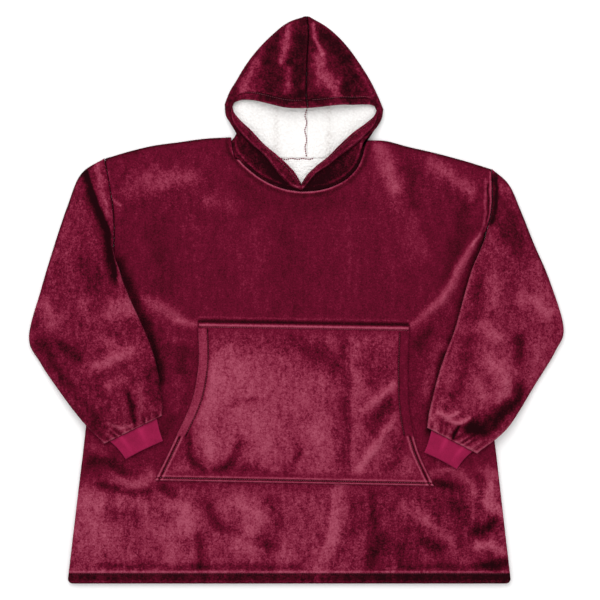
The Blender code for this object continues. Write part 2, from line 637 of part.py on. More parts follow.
    outer = np.concatenate([lower_out, grid(bend_plan[..., 0], bend_plan[..., 1], bend_z),
                            grid(upper[..., 0], upper[..., 1], top_out)], axis=1)
    inner = np.concatenate([lower_in, grid(inner_plan[..., 0], inner_plan[..., 1], inner_z),
                            grid(upper[..., 0], upper[..., 1], top_in)], axis=1)
    blank = np.zeros((n_cheek, crown_cols.shape[1], 3))
    crown_x, crown_y = crown_cols[..., 0], crown_cols[..., 1]
    crown_outer = np.concatenate([grid(crown_x, crown_y, crown_out), blank])
    crown_inner = np.concatenate([grid(crown_x, crown_y, crown_in), blank])
    outer = np.concatenate([outer, crown_outer], axis=1)
    inner = np.concatenate([inner, crown_inner], axis=1)
    keep = np.ones((rows - 1, outer.shape[1] - 1), bool)
    keep[n_crown - 1:, -crown_cols.shape[1]:] = False
    wall("hood_" + side, "plush", outer, inner, keep)


def make_hood_lining(side):
    crown, cheek, outline, back = hood_rows(side)
    crown, outline, back = crown[1:], outline[1:], back[1:]
    into = np.concatenate([0 * crown, cheek])[:, None]
    inset = mix(*LINING_INSETS, ease(into)) + 0 * into
    shares = np.array([0.0, 0.25, 0.5, 0.75, 0.93, 0.98, 1.0])[None] + 0 * into
    plan = back_layer(side, shares, outline, back, cheek, inset)
    length = np.linalg.norm(outline - back, axis=1)[:, None]
    from_edge = (1 - shares) * (length - inset)
    rounding = round_drop(from_edge, LINING_ROUND)
    thick = HOOD_LINING * mix(0.55, 1.0, ease(crown_and(crown, cheek) / 0.25))[:, None]
    under = HOOD_OUTER + LAY + 0 * rounding
    over = under + np.maximum(thick - rounding, LIP)
    wall("hood_lining_" + side, "sherpa", grid(plan[..., 0], plan[..., 1], over),
         grid(plan[..., 0], plan[..., 1], under))


def crown_and(crown, cheek):
    return np.concatenate([crown, 1 + cheek])


def make_neck_lining():
    x = np.linspace(-0.058, 0.080, 9)[None, :]
    share = np.array([0.0, 0.05, 0.35, 0.65, 0.95, 1.0])[:, None]
    high = back_neck_edge(x) - 2 * SEAM_SIDE
    low = neck_edge(x) + 0.014 + 0.14 * np.abs(x - CENTRE_FRONT_X)
    y = mix(low, high, share)
    x = x + 0 * y
    under = CLOTH + LAY + 0 * x
    rounding = 0.0012 * ((share < 0.02) | (share > 0.98)) + 0 * x
    wall("back_neck_lining", "sherpa", grid(x, y, under + NECK_LINING - rounding), grid(x, y, under))


for thing in list(bpy.data.objects):
    bpy.data.objects.remove(thing, do_unlink=True)
collection = bpy.data.collections.new("wearable_blanket_hoodie")
bpy.context.scene.collection.children.link(collection)

make_back()
make_front()
make_pocket()
make_neck_lining()
for which in ("left", "right"):
    make_sleeve(which)
    make_cuff(which)
    make_hood_half(which)
    make_hood_lining(which)
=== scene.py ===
import bpy
import numpy as np
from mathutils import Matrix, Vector, noise
from mathutils.bvhtree import BVHTree


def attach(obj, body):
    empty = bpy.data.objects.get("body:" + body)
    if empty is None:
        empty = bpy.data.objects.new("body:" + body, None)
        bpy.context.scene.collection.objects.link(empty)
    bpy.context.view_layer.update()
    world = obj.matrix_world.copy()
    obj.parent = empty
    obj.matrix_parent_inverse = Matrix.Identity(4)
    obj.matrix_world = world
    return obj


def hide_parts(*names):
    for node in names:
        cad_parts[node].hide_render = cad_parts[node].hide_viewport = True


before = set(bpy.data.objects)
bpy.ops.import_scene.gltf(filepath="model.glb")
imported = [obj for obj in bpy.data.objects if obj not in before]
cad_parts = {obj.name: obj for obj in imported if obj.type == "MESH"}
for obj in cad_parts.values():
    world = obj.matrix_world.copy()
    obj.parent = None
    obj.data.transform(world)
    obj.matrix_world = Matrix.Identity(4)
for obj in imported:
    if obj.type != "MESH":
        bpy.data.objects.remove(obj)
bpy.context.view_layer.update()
scene = bpy.context.scene
collection = bpy.data.collections.new("blanket_hoodie")
scene.collection.children.link(collection)


# Curves and small sums

def through(keys, values):  # smooth curve through values at rising keys
    keys, values = np.asarray(keys, float), np.asarray(values, float)
    slopes = np.gradient(values, keys, axis=0)

    def at(key):
        key = np.clip(np.asarray(key, float), keys[0], keys[-1])
        i = np.clip(np.searchsorted(keys, key, side="right") - 1, 0, len(keys) - 2)
        width = keys[i + 1] - keys[i]
        f = (key - keys[i]) / width
        if values.ndim > 1:
            f, width = f[..., None], width[..., None]
        near = 2 * f**3 - 3 * f**2 + 1
        bends = (f**3 - 2 * f**2 + f) * slopes[i] + (f**3 - f**2) * slopes[i + 1]
        return near * values[i] + (1 - near) * values[i + 1] + bends * width

    return at


def lengths(ways):
    return np.linalg.norm(ways, axis=-1)


def along(points):  # smooth curve through points, by the share of its length
    points = np.asarray(points, float)
    steps = lengths(np.diff(points, axis=0))
    keys = np.concatenate([[0.0], np.cumsum(steps)])
    return through(keys / keys[-1], points)


def over(table):
    return through(*np.asarray(table, float).T)


def ease(x):
    x = np.clip(x, 0.0, 1.0)
    return x * x * (3 - 2 * x)


def between(a, b, share):
    return a + (b - a) * share


def roundDrop(distance, radius):  # how far a rounded edge lies below its panel
    near = np.clip(radius - distance, 0.0, radius)
    return radius - np.sqrt(radius**2 - near**2)


def bump(distance, half):
    return np.exp(-(distance / half) ** 2)


def roundEnd(near):  # quarter circle that rises to 1 at an end
    near = np.clip(near, 0, 1)
    return 1 - np.sqrt(1 - near**2)


def spot(x, y, z):
    return np.stack(np.broadcast_arrays(x, y, z), axis=-1)


def onPlan(plan, z):
    return spot(plan[..., 0], plan[..., 1], z)


def nearLine(x, y, points):  # distance from a smooth line, its side, the way along it, and its length
    line = np.array(points, float)
    if len(line) == 1:
        line = np.concatenate([line, line + 1e-5])
    if len(line) > 2:
        line = along(line)(np.linspace(0, 1, 4 * len(line)))
    best, side, run, start = np.full(x.shape, 9.0), np.zeros(x.shape), np.zeros(x.shape), 0.0
    for a, b in zip(line[:-1], line[1:]):
        way = b - a
        length = np.hypot(*way)
        t = np.clip(((x - a[0]) * way[0] + (y - a[1]) * way[1]) / length**2, 0, 1)
        dx, dy = x - a[0] - t * way[0], y - a[1] - t * way[1]
        distance = np.hypot(dx, dy)
        closer = distance < best
        best = np.where(closer, distance, best)
        side = np.where(closer, way[0] * dy - way[1] * dx, side)
        run = np.where(closer, start + t * length, run)
        start += length
    return best, side, run, start


def strokes(x, y, table, fade=False):
    # each stroke: size, half width in mm (or left and right of its way), then x and y of each point in mm
    total = np.zeros_like(x)
    for size, half, *points in table:
        left, right = half if isinstance(half, tuple) else (half, half)
        line = np.array(points, float).reshape(-1, 2) / 1000
        reach = 0.0026 * max(left, right)
        low, high = line.min(0) - reach, line.max(0) + reach
        near = (x > low[0]) & (x < high[0]) & (y > low[1]) & (y < high[1])
        if not near.any():
            continue
        best, side, run, length = nearLine(x[near], y[near], line)
        shape = bump(best, np.where(side > 0, left, right) / 1000)
        if fade and length > 0.004:
            shape = shape * ease(np.minimum(run, length - run) / (0.40 * length) + 0.08)
        total[near] += size * shape
    return total


def unevenStrokes(x, y, table):  # strokes of crushed pile, and of painted shade and highlights where the tables hold them: the wide strokes have uneven edges
    wx = x + 0.0045 * np.sin(y * 71 + 2.1 * np.sin(x * 43)) + 0.0020 * np.sin(x * 163 + y * 209)
    wy = y + 0.0045 * np.sin(x * 67 + 1.7 * np.sin(y * 39)) + 0.0020 * np.sin(y * 149 - x * 187)
    wide = [s for s in table if np.min(s[1]) >= 13]
    narrow = [s for s in table if np.min(s[1]) < 13]
    return strokes(wx, wy, wide) + strokes(between(x, wx, 0.25), between(y, wy, 0.25), narrow)


# Materials

class Socket:  # one socket of a material's nodes, for sums written as Python
    def __init__(self, tree, output=None):
        self.tree, self.output = tree, output

    def node(self, kind, settings, inputs, out=0):
        made = self.tree.nodes.new("ShaderNode" + kind)
        count = len(self.tree.nodes)
        made.location = (-1500 + 180 * (count % 8), 500 - 260 * (count // 8))
        for name, value in settings.items():
            if name == "stops":
                ramp = made.color_ramp
                first, last = ramp.elements[0], ramp.elements[1]
                first.position, last.position = value[0][0], value[-1][0]
                stops = [first, *(ramp.elements.new(p) for p, _ in value[1:-1]), last]
                for position, colour in value:
                    element = min(ramp.elements, key=lambda e: abs(e.position - position))
                    element.color = (*colour, 1.0)
            else:
                setattr(made, name, value)
        for name, value in inputs.items():
            if isinstance(value, Socket):
                self.tree.links.new(value.output, made.inputs[name])
            else:
                made.inputs[name].default_value = value
        return Socket(self.tree, made.outputs[out])

    def math(self, operation, a, b):
        return self.node("Math", {"operation": operation}, {0: a, 1: b})

    def ramp(self, stops):
        return self.node("ValToRGB", {"stops": stops}, {"Fac": self})

    def relief(self, strength, distance):
        return self.node("Bump", {}, {"Strength": strength, "Distance": distance, "Height": self})

    def painted(self, name):  # a value that the mesh holds at each of its points
        return self.node("Attribute", {"attribute_name": name}, {}, "Fac")

    def __add__(self, other):
        return self.math("ADD", self, other)

    def __sub__(self, other):
        return self.math("SUBTRACT", self, other)

    def __rsub__(self, other):
        return self.math("SUBTRACT", other, self)

    def __mul__(self, other):
        return self.math("MULTIPLY", self, other)

    __radd__, __rmul__ = __add__, __mul__


def newMaterial(name, look):
    material = bpy.data.materials.new(name)
    material.use_nodes = True
    shader = material.node_tree.nodes["Principled BSDF"]
    for socket, value in look.items():
        shader.inputs[socket].default_value = value

    def feed(**links):
        for socket, value in links.items():
            value.tree.links.new(value.output, shader.inputs[socket.replace("_", " ")])

    return material, Socket(material.node_tree).node("TexCoord", {}, {}, "Object"), feed


def noiseOn(place, scale, detail=4.0, roughness=0.55, distortion=0.0, stretch=None):
    if stretch:
        place = place.node("Mapping", {"vector_type": "POINT"}, {"Vector": place, "Scale": stretch})
    sizes = {"Scale": scale, "Detail": detail, "Roughness": roughness, "Distortion": distortion}
    return place.node("TexNoise", {}, {"Vector": place, **sizes})


plush = {
    "stops": [(0.00, (0.012, 0.0006, 0.0020)), (0.20, (0.044, 0.0015, 0.0062)),
              (0.46, (0.118, 0.0032, 0.0190)), (0.66, (0.210, 0.0200, 0.0490)),
              (1.00, (0.330, 0.0620, 0.1060))],
    # the painted value below holds the crushed pile's patches together with painted shade in creases and
    # painted highlights on ridges and edges
    "napAndShadeShare": 0.50, "mottleShare": 0.46, "fleckShare": 1.15, "streakShare": 0.66, "grainShare": 1.15,
    "mottleSize": 34.0, "fleckSize": 175.0, "streakSize": 95.0, "grainSize": 310.0,
    "shader": {"Roughness": 0.8, "Specular IOR Level": 0.03, "Sheen Weight": 0.06, "Sheen Roughness": 0.28,
               "Sheen Tint": (1.0, 0.45, 0.58, 1.0)},
}


def plushMaterial(name, lean=(1.0, 0.30, 1.0), level=0.0):  # lean: how the brushed streaks lie
    material, place, feed = newMaterial(name, plush["shader"])
    # painted per point: the crushed pile's light and dark patches, with painted shade and painted
    # highlights mixed in
    nap = place.painted("nap")
    crush = place.painted("crush")
    mottle = noiseOn(place, plush["mottleSize"], 5.0, 0.60, 0.5)
    fleck = noiseOn(place, plush["fleckSize"], 6.0, 0.68, 0.9)
    streak = noiseOn(place, plush["streakSize"], 4.0, 0.60, 0.2, lean)
    grain = noiseOn(place, plush["grainSize"], 4.0, 0.72)
    rough = ((mottle - 0.5) * plush["mottleShare"] + (fleck - 0.5) * plush["fleckShare"]
             + (streak - 0.5) * plush["streakShare"])
    tone = (0.46 + level + nap * (fleck * 0.9 + 0.55) * plush["napAndShadeShare"] + crush * rough
            + (grain - 0.5) * (crush * 0.6 + 0.4) * plush["grainShare"])
    colour = tone.ramp(plush["stops"])
    pile = noiseOn(place, 1100.0, 2.0, 0.6)
    height = grain * 0.8 + pile * 0.4 + fleck * 1.2
    normal = height.relief(0.6, 0.0012)
    feed(Base_Color=colour, Normal=normal, Roughness=0.72 + mottle * 0.16)
    return material


sherpa = {
    "stops": [(0.0, (0.50, 0.46, 0.44)), (0.4, (0.74, 0.72, 0.705)), (1.0, (0.88, 0.87, 0.86))],
    "curlSize": 250.0,
    "shader": {"Roughness": 0.9, "Specular IOR Level": 0.1, "Sheen Weight": 0.2, "Sheen Roughness": 0.5},
}


def sherpaMaterial():
    material, place, feed = newMaterial("sherpa_pile", sherpa["shader"])
    # the painted value lightens the curl tops and darkens two soft folds, which is painted light and shade,
    # and darkens the seam lines
    curl = place.painted("nap")
    fibre = noiseOn(place, 900.0, 3.0, 0.65, 1.2)
    worn = noiseOn(place, 24.0, 3.0, 0.6)
    rings = place.node("TexVoronoi", {"feature": "SMOOTH_F1"},
                       {"Vector": place, "Scale": sherpa["curlSize"]})
    # the rings darken the gaps between curls: painted shade
    tone = 0.62 + curl * 0.28 + (fibre - 0.5) * 0.35 + (worn - 0.5) * 0.25 - rings * 0.14
    colour = tone.ramp(sherpa["stops"])
    normal = (fibre + (1 - rings)).relief(0.45, 0.0006)
    feed(Base_Color=colour, Normal=normal)
    return material


rib = {
    "stops": [(0.0, (0.165, 0.0060, 0.032)), (0.5, (0.285, 0.0100, 0.058)), (1.0, (0.370, 0.0170, 0.082))],
    "shader": {"Roughness": 0.82, "Specular IOR Level": 0.05, "Sheen Weight": 0.03, "Sheen Roughness": 0.4,
               "Sheen Tint": (1.0, 0.55, 0.65, 1.0)},
}


def ribMaterial():
    material, place, feed = newMaterial("rib_knit", rib["shader"])
    # the painted value is painted light and shade: rib crests lighter, the cuff's ends darker
    ribLightAndShade = place.painted("nap")
    yarn = noiseOn(place, 700.0, 3.0, 0.6)
    worn = noiseOn(place, 45.0, 4.0, 0.6)
    tone = 0.38 + ribLightAndShade * 0.24 + (yarn - 0.5) * 0.6 + (worn - 0.5) * 0.7
    colour = tone.ramp(rib["stops"])
    normal = yarn.relief(0.4, 0.0004)
    feed(Base_Color=colour, Normal=normal)
    return material


def threadMaterial():
    look = {"Roughness": 0.55, "Sheen Weight": 0.2, "Specular IOR Level": 0.35}
    material, place, feed = newMaterial("sewing_thread", look)
    twist = noiseOn(place, 1500.0, 2.0, 0.5)
    colour = twist.ramp([(0.3, (0.110, 0.006, 0.020)), (0.7, (0.240, 0.016, 0.052))])
    feed(Base_Color=colour, Normal=twist.relief(0.3, 0.0002))
    return material


plushDown = plushMaterial("plush_body")
plushSleeve = plushMaterial("plush_sleeve", (1.0, 0.45, 1.0))
plushHood = plushMaterial("plush_hood", (1.0, 0.60, 1.0), -0.16)
sherpaPile = sherpaMaterial()
ribKnit = ribMaterial()
thread = threadMaterial()
print("materials ready")


# Meshes

def finishPiece(name, mesh, material):
    mesh.shade_smooth()
    mesh.materials.append(material)
    piece = bpy.data.objects.new(name, mesh)
    collection.objects.link(piece)
    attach(piece, "root")
    return piece


def addPiece(name, points, faces, material, nap, crush):
    faces = [np.atleast_2d(face) for face in faces]
    signed = 0.0
    for corners in (points[face] for face in faces):
        for i in range(1, corners.shape[1] - 1):
            signed += np.einsum("ij,ij->", corners[:, 0], np.cross(corners[:, i], corners[:, i + 1]))
    mesh = bpy.data.meshes.new(name)
    mesh.from_pydata(points.tolist(), [], [row for face in faces for row in face.tolist()])
    if signed < 0:
        mesh.flip_normals()
    for attribute, values in (("nap", nap), ("crush", crush)):
        stored = mesh.attributes.new(attribute, "FLOAT", "POINT")
        stored.data.foreach_set("value", values.astype(np.float32))
    return finishPiece(name, mesh, material)


def grid(rows, columns, closed=False):  # numbers of a grid's points, and its cells
    number = np.arange(rows * columns).reshape(rows, columns)
    if closed:
        number = np.concatenate([number, number[:, :1]], axis=1)
    return number, np.stack([number[:-1, :-1], number[:-1, 1:], number[1:, 1:], number[1:, :-1]], axis=-1)


def shell(name, outer, inner, material, nap, keep=None, closed=False, crush=0.8):
    # closed wall between two grids of points, with a rim wherever the kept cells end
    rows, columns = outer.shape[:2]
    keep = np.ones((rows - 1, columns - 1 + closed), bool) if keep is None else keep
    cells = grid(rows, columns, closed)[1]
    around = np.pad(keep, 1)
    if closed:
        around[1:-1, 0], around[1:-1, -1] = keep[:, -1], keep[:, 0]
    beside = [around[:-2, 1:-1], around[1:-1, 2:], around[2:, 1:-1], around[1:-1, :-2]]
    under = rows * columns
    faces = [cells[keep], cells[keep][:, ::-1] + under]
    for i, other in enumerate(beside):
        a, b = cells[keep & ~other][:, i], cells[keep & ~other][:, (i + 1) % 4]
        faces.append(np.stack([b, a, a + under, b + under], axis=-1))
    points = np.concatenate([outer.reshape(-1, 3), inner.reshape(-1, 3)])
    tones = np.concatenate([nap.reshape(-1), 0 * nap.reshape(-1)])
    crush = np.tile((crush + 0 * nap).reshape(-1), 2)
    used, faces = np.unique(np.concatenate(faces), return_inverse=True)
    faces = [faces.reshape(-1, 4)]
    return addPiece(name, points[used], faces, material, tones[used], crush[used])


def slab(name, face, flatZ, material, nap, crush):
    # a fine face, a rim, and one flat face on the side that nothing shows
    rows, columns = face.shape[:2]
    number, cells = grid(rows, columns)
    loop = np.concatenate([number[0, :-1], number[:-1, -1], number[-1, :0:-1], number[:0:-1, 0]])
    points = face.reshape(-1, 3)
    edge = points[loop].copy()
    edge[:, 2] = flatZ
    below = rows * columns + np.arange(len(loop))
    rim = np.stack([np.roll(loop, -1), loop, below, np.roll(below, -1)], axis=-1)
    tones = np.concatenate([nap.reshape(-1), np.zeros(len(loop))])
    crush = np.concatenate([(crush + 0 * nap).reshape(-1), np.full(len(loop), 0.8)])
    points, faces = np.concatenate([points, edge]), [cells.reshape(-1, 4), rim, below[::-1]]
    return addPiece(name, points, faces, material, tones, crush)


stitch = {
    "pitch": 0.0044, "length": 0.0032, "raise": 0.35, "flat": 0.8, "sides": 6,
    # place along the stitch, and how wide it is there
    "profile": [(-0.5, 0.25), (-0.38, 0.85), (0.0, 1.0), (0.38, 0.85), (0.5, 0.25)],
}


def stitches(name, lines, carrier, radius=0.00042, fromBelow=False):
    # short thread capsules that follow lines on a piece's surface
    tree = BVHTree.FromObject(carrier, bpy.context.evaluated_depsgraph_get())
    sign = -1.0 if fromBelow else 1.0
    ring, profile = stitch["sides"], stitch["profile"]
    around = np.linspace(0, 2 * np.pi, ring, endpoint=False)
    points, faces = [], []
    for line in lines:
        curve = along(np.array(line, float) / 1000)
        samples = curve(np.linspace(0, 1, 200))
        total = lengths(np.diff(samples, axis=0)).sum()
        for share in np.arange(stitch["pitch"] / 2, total, stitch["pitch"]) / total:
            here, ahead = curve(share), curve(min(share + 1e-3, 1.0)) - curve(max(share - 1e-3, 0.0))
            hit, normal, _, _ = tree.ray_cast(Vector((*here, 0.2 * sign)), Vector((0, 0, -sign)))
            if hit is None:
                continue
            way = Vector((*ahead, 0.0)).normalized()
            up = Vector((0, 0, sign)) if normal.z * sign < 0.3 else normal
            across = up.cross(way).normalized()
            way = across.cross(up).normalized()
            base = len(points)
            for step, wide in profile:
                centre = hit + way * (step * stitch["length"]) + up * (radius * stitch["raise"])
                for angle in around:
                    aside = np.cos(angle) * radius * wide
                    rise = np.sin(angle) * radius * wide * stitch["flat"]
                    points.append(centre + (across * aside + up * rise))
            for r in range(len(profile) - 1):
                this, onward = base + r * ring, base + (r + 1) * ring
                for i in range(ring):
                    j = (i + 1) % ring
                    faces.append((this + i, this + j, onward + j, onward + i))
            last = base + (len(profile) - 1) * ring
            faces.append(tuple(base + i for i in reversed(range(ring))))
            faces.append(tuple(last + i for i in range(ring)))
    mesh = bpy.data.meshes.new(name)
    mesh.from_pydata([tuple(p) for p in points], [], faces)
    return finishPiece(name, mesh, thread)


# Body: the plan that front and back share

sides = ("left", "right")
body = {
    "hemY": -0.568, "cloth": 0.0065, "lay": 0.0003, "edgeRound": 0.0057, "armholeRound": 0.0020,
    "hemBand": 0.020, "seamSide": 0.0008, "cornerRound": 0.011,
    "neckEnds": (-0.130, 0.140), "frontX": 0.011,
    # side seams as y, x, and shoulders as x, y
    "sideLeft": [(-0.568, -0.458), (-0.316, -0.428), (0.000, -0.387), (0.096, -0.366),
                 (0.168, -0.365), (0.226, -0.372), (0.283, -0.383)],
    "sideRight": [(-0.568, 0.431), (-0.316, 0.402), (0.000, 0.367), (0.120, 0.377),
                  (0.180, 0.391), (0.220, 0.393), (0.262, 0.391)],
    "shoulderLeft": [(-0.383, 0.283), (-0.336, 0.297), (-0.286, 0.309), (-0.235, 0.316),
                     (-0.184, 0.323), (-0.131, 0.326)],
    "shoulderRight": [(0.141, 0.320), (0.176, 0.319), (0.224, 0.307), (0.280, 0.294),
                      (0.336, 0.279), (0.391, 0.262)],
    "neckLeft": [(-0.130, 0.322), (-0.127, 0.302), (-0.112, 0.280), (-0.088, 0.257),
                 (-0.060, 0.238), (-0.026, 0.224), (0.011, 0.218)],
    "neckRight": [(0.140, 0.318), (0.135, 0.296), (0.126, 0.272), (0.108, 0.249),
                  (0.082, 0.232), (0.048, 0.221), (0.011, 0.218)],
    "backNeck": [(-0.130, 0.322), (-0.112, 0.302), (-0.080, 0.288), (-0.030, 0.284), (0.022, 0.284),
                 (0.068, 0.284), (0.104, 0.293), (0.126, 0.304), (0.140, 0.318)],
}
frontTop = 2 * body["cloth"] + body["lay"]
sideLeft, sideRight = over(body["sideLeft"]), over(body["sideRight"])
neckL, neckR = over(body["neckLeft"]), over(body["neckRight"][::-1])
frontNeck = body["neckLeft"] + body["neckRight"][-2::-1]


def neckEdge(x):
    return np.where(x < body["frontX"], neckL(x), neckR(x))


def backNeckEdge(x):
    return np.interp(x, *zip(*body["backNeck"]))


def topEdge(x, neckLine):
    shoulder = np.where(x < 0, over(body["shoulderLeft"])(x), over(body["shoulderRight"])(x))
    inNeck = (x > body["neckEnds"][0] - 1e-6) & (x < body["neckEnds"][1] + 1e-6)
    return np.where(inNeck, neckLine(x) - body["seamSide"], shoulder)


def bodyPlan(neckLine, columns, rows):
    steps = np.array([0.0, 0.0004, 0.0011, 0.0020, 0.0032, 0.0045, 0.0057, 0.0075])
    leftEnd, rightEnd = body["sideLeft"][-1][1], body["sideRight"][-1][1]
    first, last = leftEnd + 0.010, rightEnd - 0.010
    neck = np.concatenate([np.linspace(-0.1315, -0.105, 24), np.linspace(0.120, 0.1415, 20)])
    middle = np.linspace(first, last, columns)
    middle = middle[np.abs(middle - 0.0055) < 0.1105]
    outer = [np.linspace(first, -0.1325, columns // 3), np.linspace(0.1425, last, columns // 3)]
    topX = np.sort(np.concatenate([leftEnd + steps, outer[0], neck, middle, outer[1], rightEnd - steps]))
    topY = topEdge(topX, neckLine)
    hem = np.array([0.0100, 0.0135, 0.0160, 0.0175, 0.0185, 0.0193, 0.0200, 0.0207, 0.0215, 0.0225, 0.0240])
    low = body["hemY"] + np.concatenate([steps, hem])[:, None] + 0 * topY
    high = topY - steps[::-1][:, None]
    y = np.concatenate([low, between(low[-1], high[0], np.linspace(0, 1, rows)[1:-1, None]), high])
    left, right = sideLeft(y), sideRight(y)
    leftTop, rightTop = sideLeft(topY), sideRight(topY)
    x = between(left, right, (topX - leftTop) / (rightTop - leftTop))
    n = len(steps)
    x[:, :n], x[:, -n:] = left[:, :n] + steps, right[:, -n:] - steps[::-1]
    fromSide, fromHem = np.minimum(x - left, right - x), y - body["hemY"]
    corner = roundDrop(fromHem, body["cornerRound"]) * ease(1 - fromSide / 0.03)
    x = x + np.where(x < 0, corner, -corner)
    return x, y, fromSide, fromHem, topY - y


def bodyRounding(y, fromSide, fromHem, fromTop):
    armhole = ease((y - 0.095) / 0.02)
    side = roundDrop(fromSide, between(body["edgeRound"], body["armholeRound"], armhole))
    corner = roundDrop(np.minimum(fromHem, fromTop), body["edgeRound"])
    return np.maximum(side, corner)


# Sleeves and pocket, whose places the front's folds leave free

sleeve = {
    "wall": 0.0030, "half": 0.0072, "roofLength": 0.110, "climbFull": 0.022, "climbLength": 0.048,
    # edge: strength of a painted highlight along the folded edges; level: a tone offset for each side
    "edgeHighlight": {"left": 0.15, "right": 0.50}, "level": {"left": -0.04, "right": 0.10},
    "climbStart": {"left": 0.144, "right": 0.170}, "climbEnd": {"left": 0.104, "right": 0.128},
    # from armhole to cuff: outer fold x, y, inner fold x, y, rise of the upper wall
    "left": [(-0.3845, 0.284, -0.3670, 0.100, 0.000), (-0.431, 0.252, -0.362, 0.084, 0.009),
             (-0.459, 0.185, -0.355, 0.066, 0.012), (-0.486, 0.104, -0.346, 0.038, 0.012),
             (-0.510, 0.024, -0.330, -0.002, 0.011), (-0.535, -0.074, -0.306, -0.054, 0.010),
             (-0.512, -0.126, -0.286, -0.105, 0.010), (-0.472, -0.185, -0.274, -0.154, 0.010),
             (-0.424, -0.246, -0.267, -0.204, 0.009), (-0.383, -0.287, -0.268, -0.231, 0.003)],
    "right": [(0.3928, 0.263, 0.3790, 0.124, 0.000), (0.426, 0.232, 0.372, 0.108, 0.009),
              (0.449, 0.182, 0.363, 0.088, 0.012), (0.477, 0.112, 0.351, 0.060, 0.012),
              (0.507, 0.042, 0.338, 0.016, 0.011), (0.536, -0.054, 0.317, -0.060, 0.010),
              (0.520, -0.102, 0.300, -0.104, 0.010), (0.480, -0.168, 0.284, -0.152, 0.010),
              (0.424, -0.255, 0.267, -0.220, 0.009), (0.362, -0.307, 0.262, -0.255, 0.003)],
}
pocket = {
    "lay": 0.0005, "cloth": 0.0036, "edge": 0.0025, "length": 0.345, "band": 0.018, "bandRaise": 0.0014,
    "openingEnd": -0.274,
    "left": [(-0.196, -0.043), (-0.196, -0.138), (-0.207, -0.197), (-0.239, -0.271), (-0.282, -0.361)],
    "right": [(0.227, -0.050), (0.224, -0.149), (0.226, -0.212), (0.241, -0.292), (0.276, -0.372)],
}


def clearOfSleeves(x, y, margin, ramp):
    free = np.ones_like(x)
    for side, sign, seam in (("left", 1, sideLeft), ("right", -1, sideRight)):
        table = np.array(sleeve[side])[:, 2:4]
        under = np.interp(-y, -table[:, 1], table[:, 0])
        under = np.where(y > table[0, 1], seam(y), under)
        free = free * ease((sign * (x - under) - margin) / ramp)
    cuffLow = -0.318
    return np.where(y < cuffLow, 1.0, np.where((y < -0.225) & (np.abs(x) < 0.262), 1.0, free))


def clearOfPocket(x, y, ramp=0.020):
    beside = np.maximum(pocket["left"][-1][0] - x, x - pocket["right"][-1][0])
    above = np.maximum(y - pocket["left"][0][1], pocket["right"][-1][1] - y)
    return ease((np.maximum(beside, above) - 0.004) / ramp)


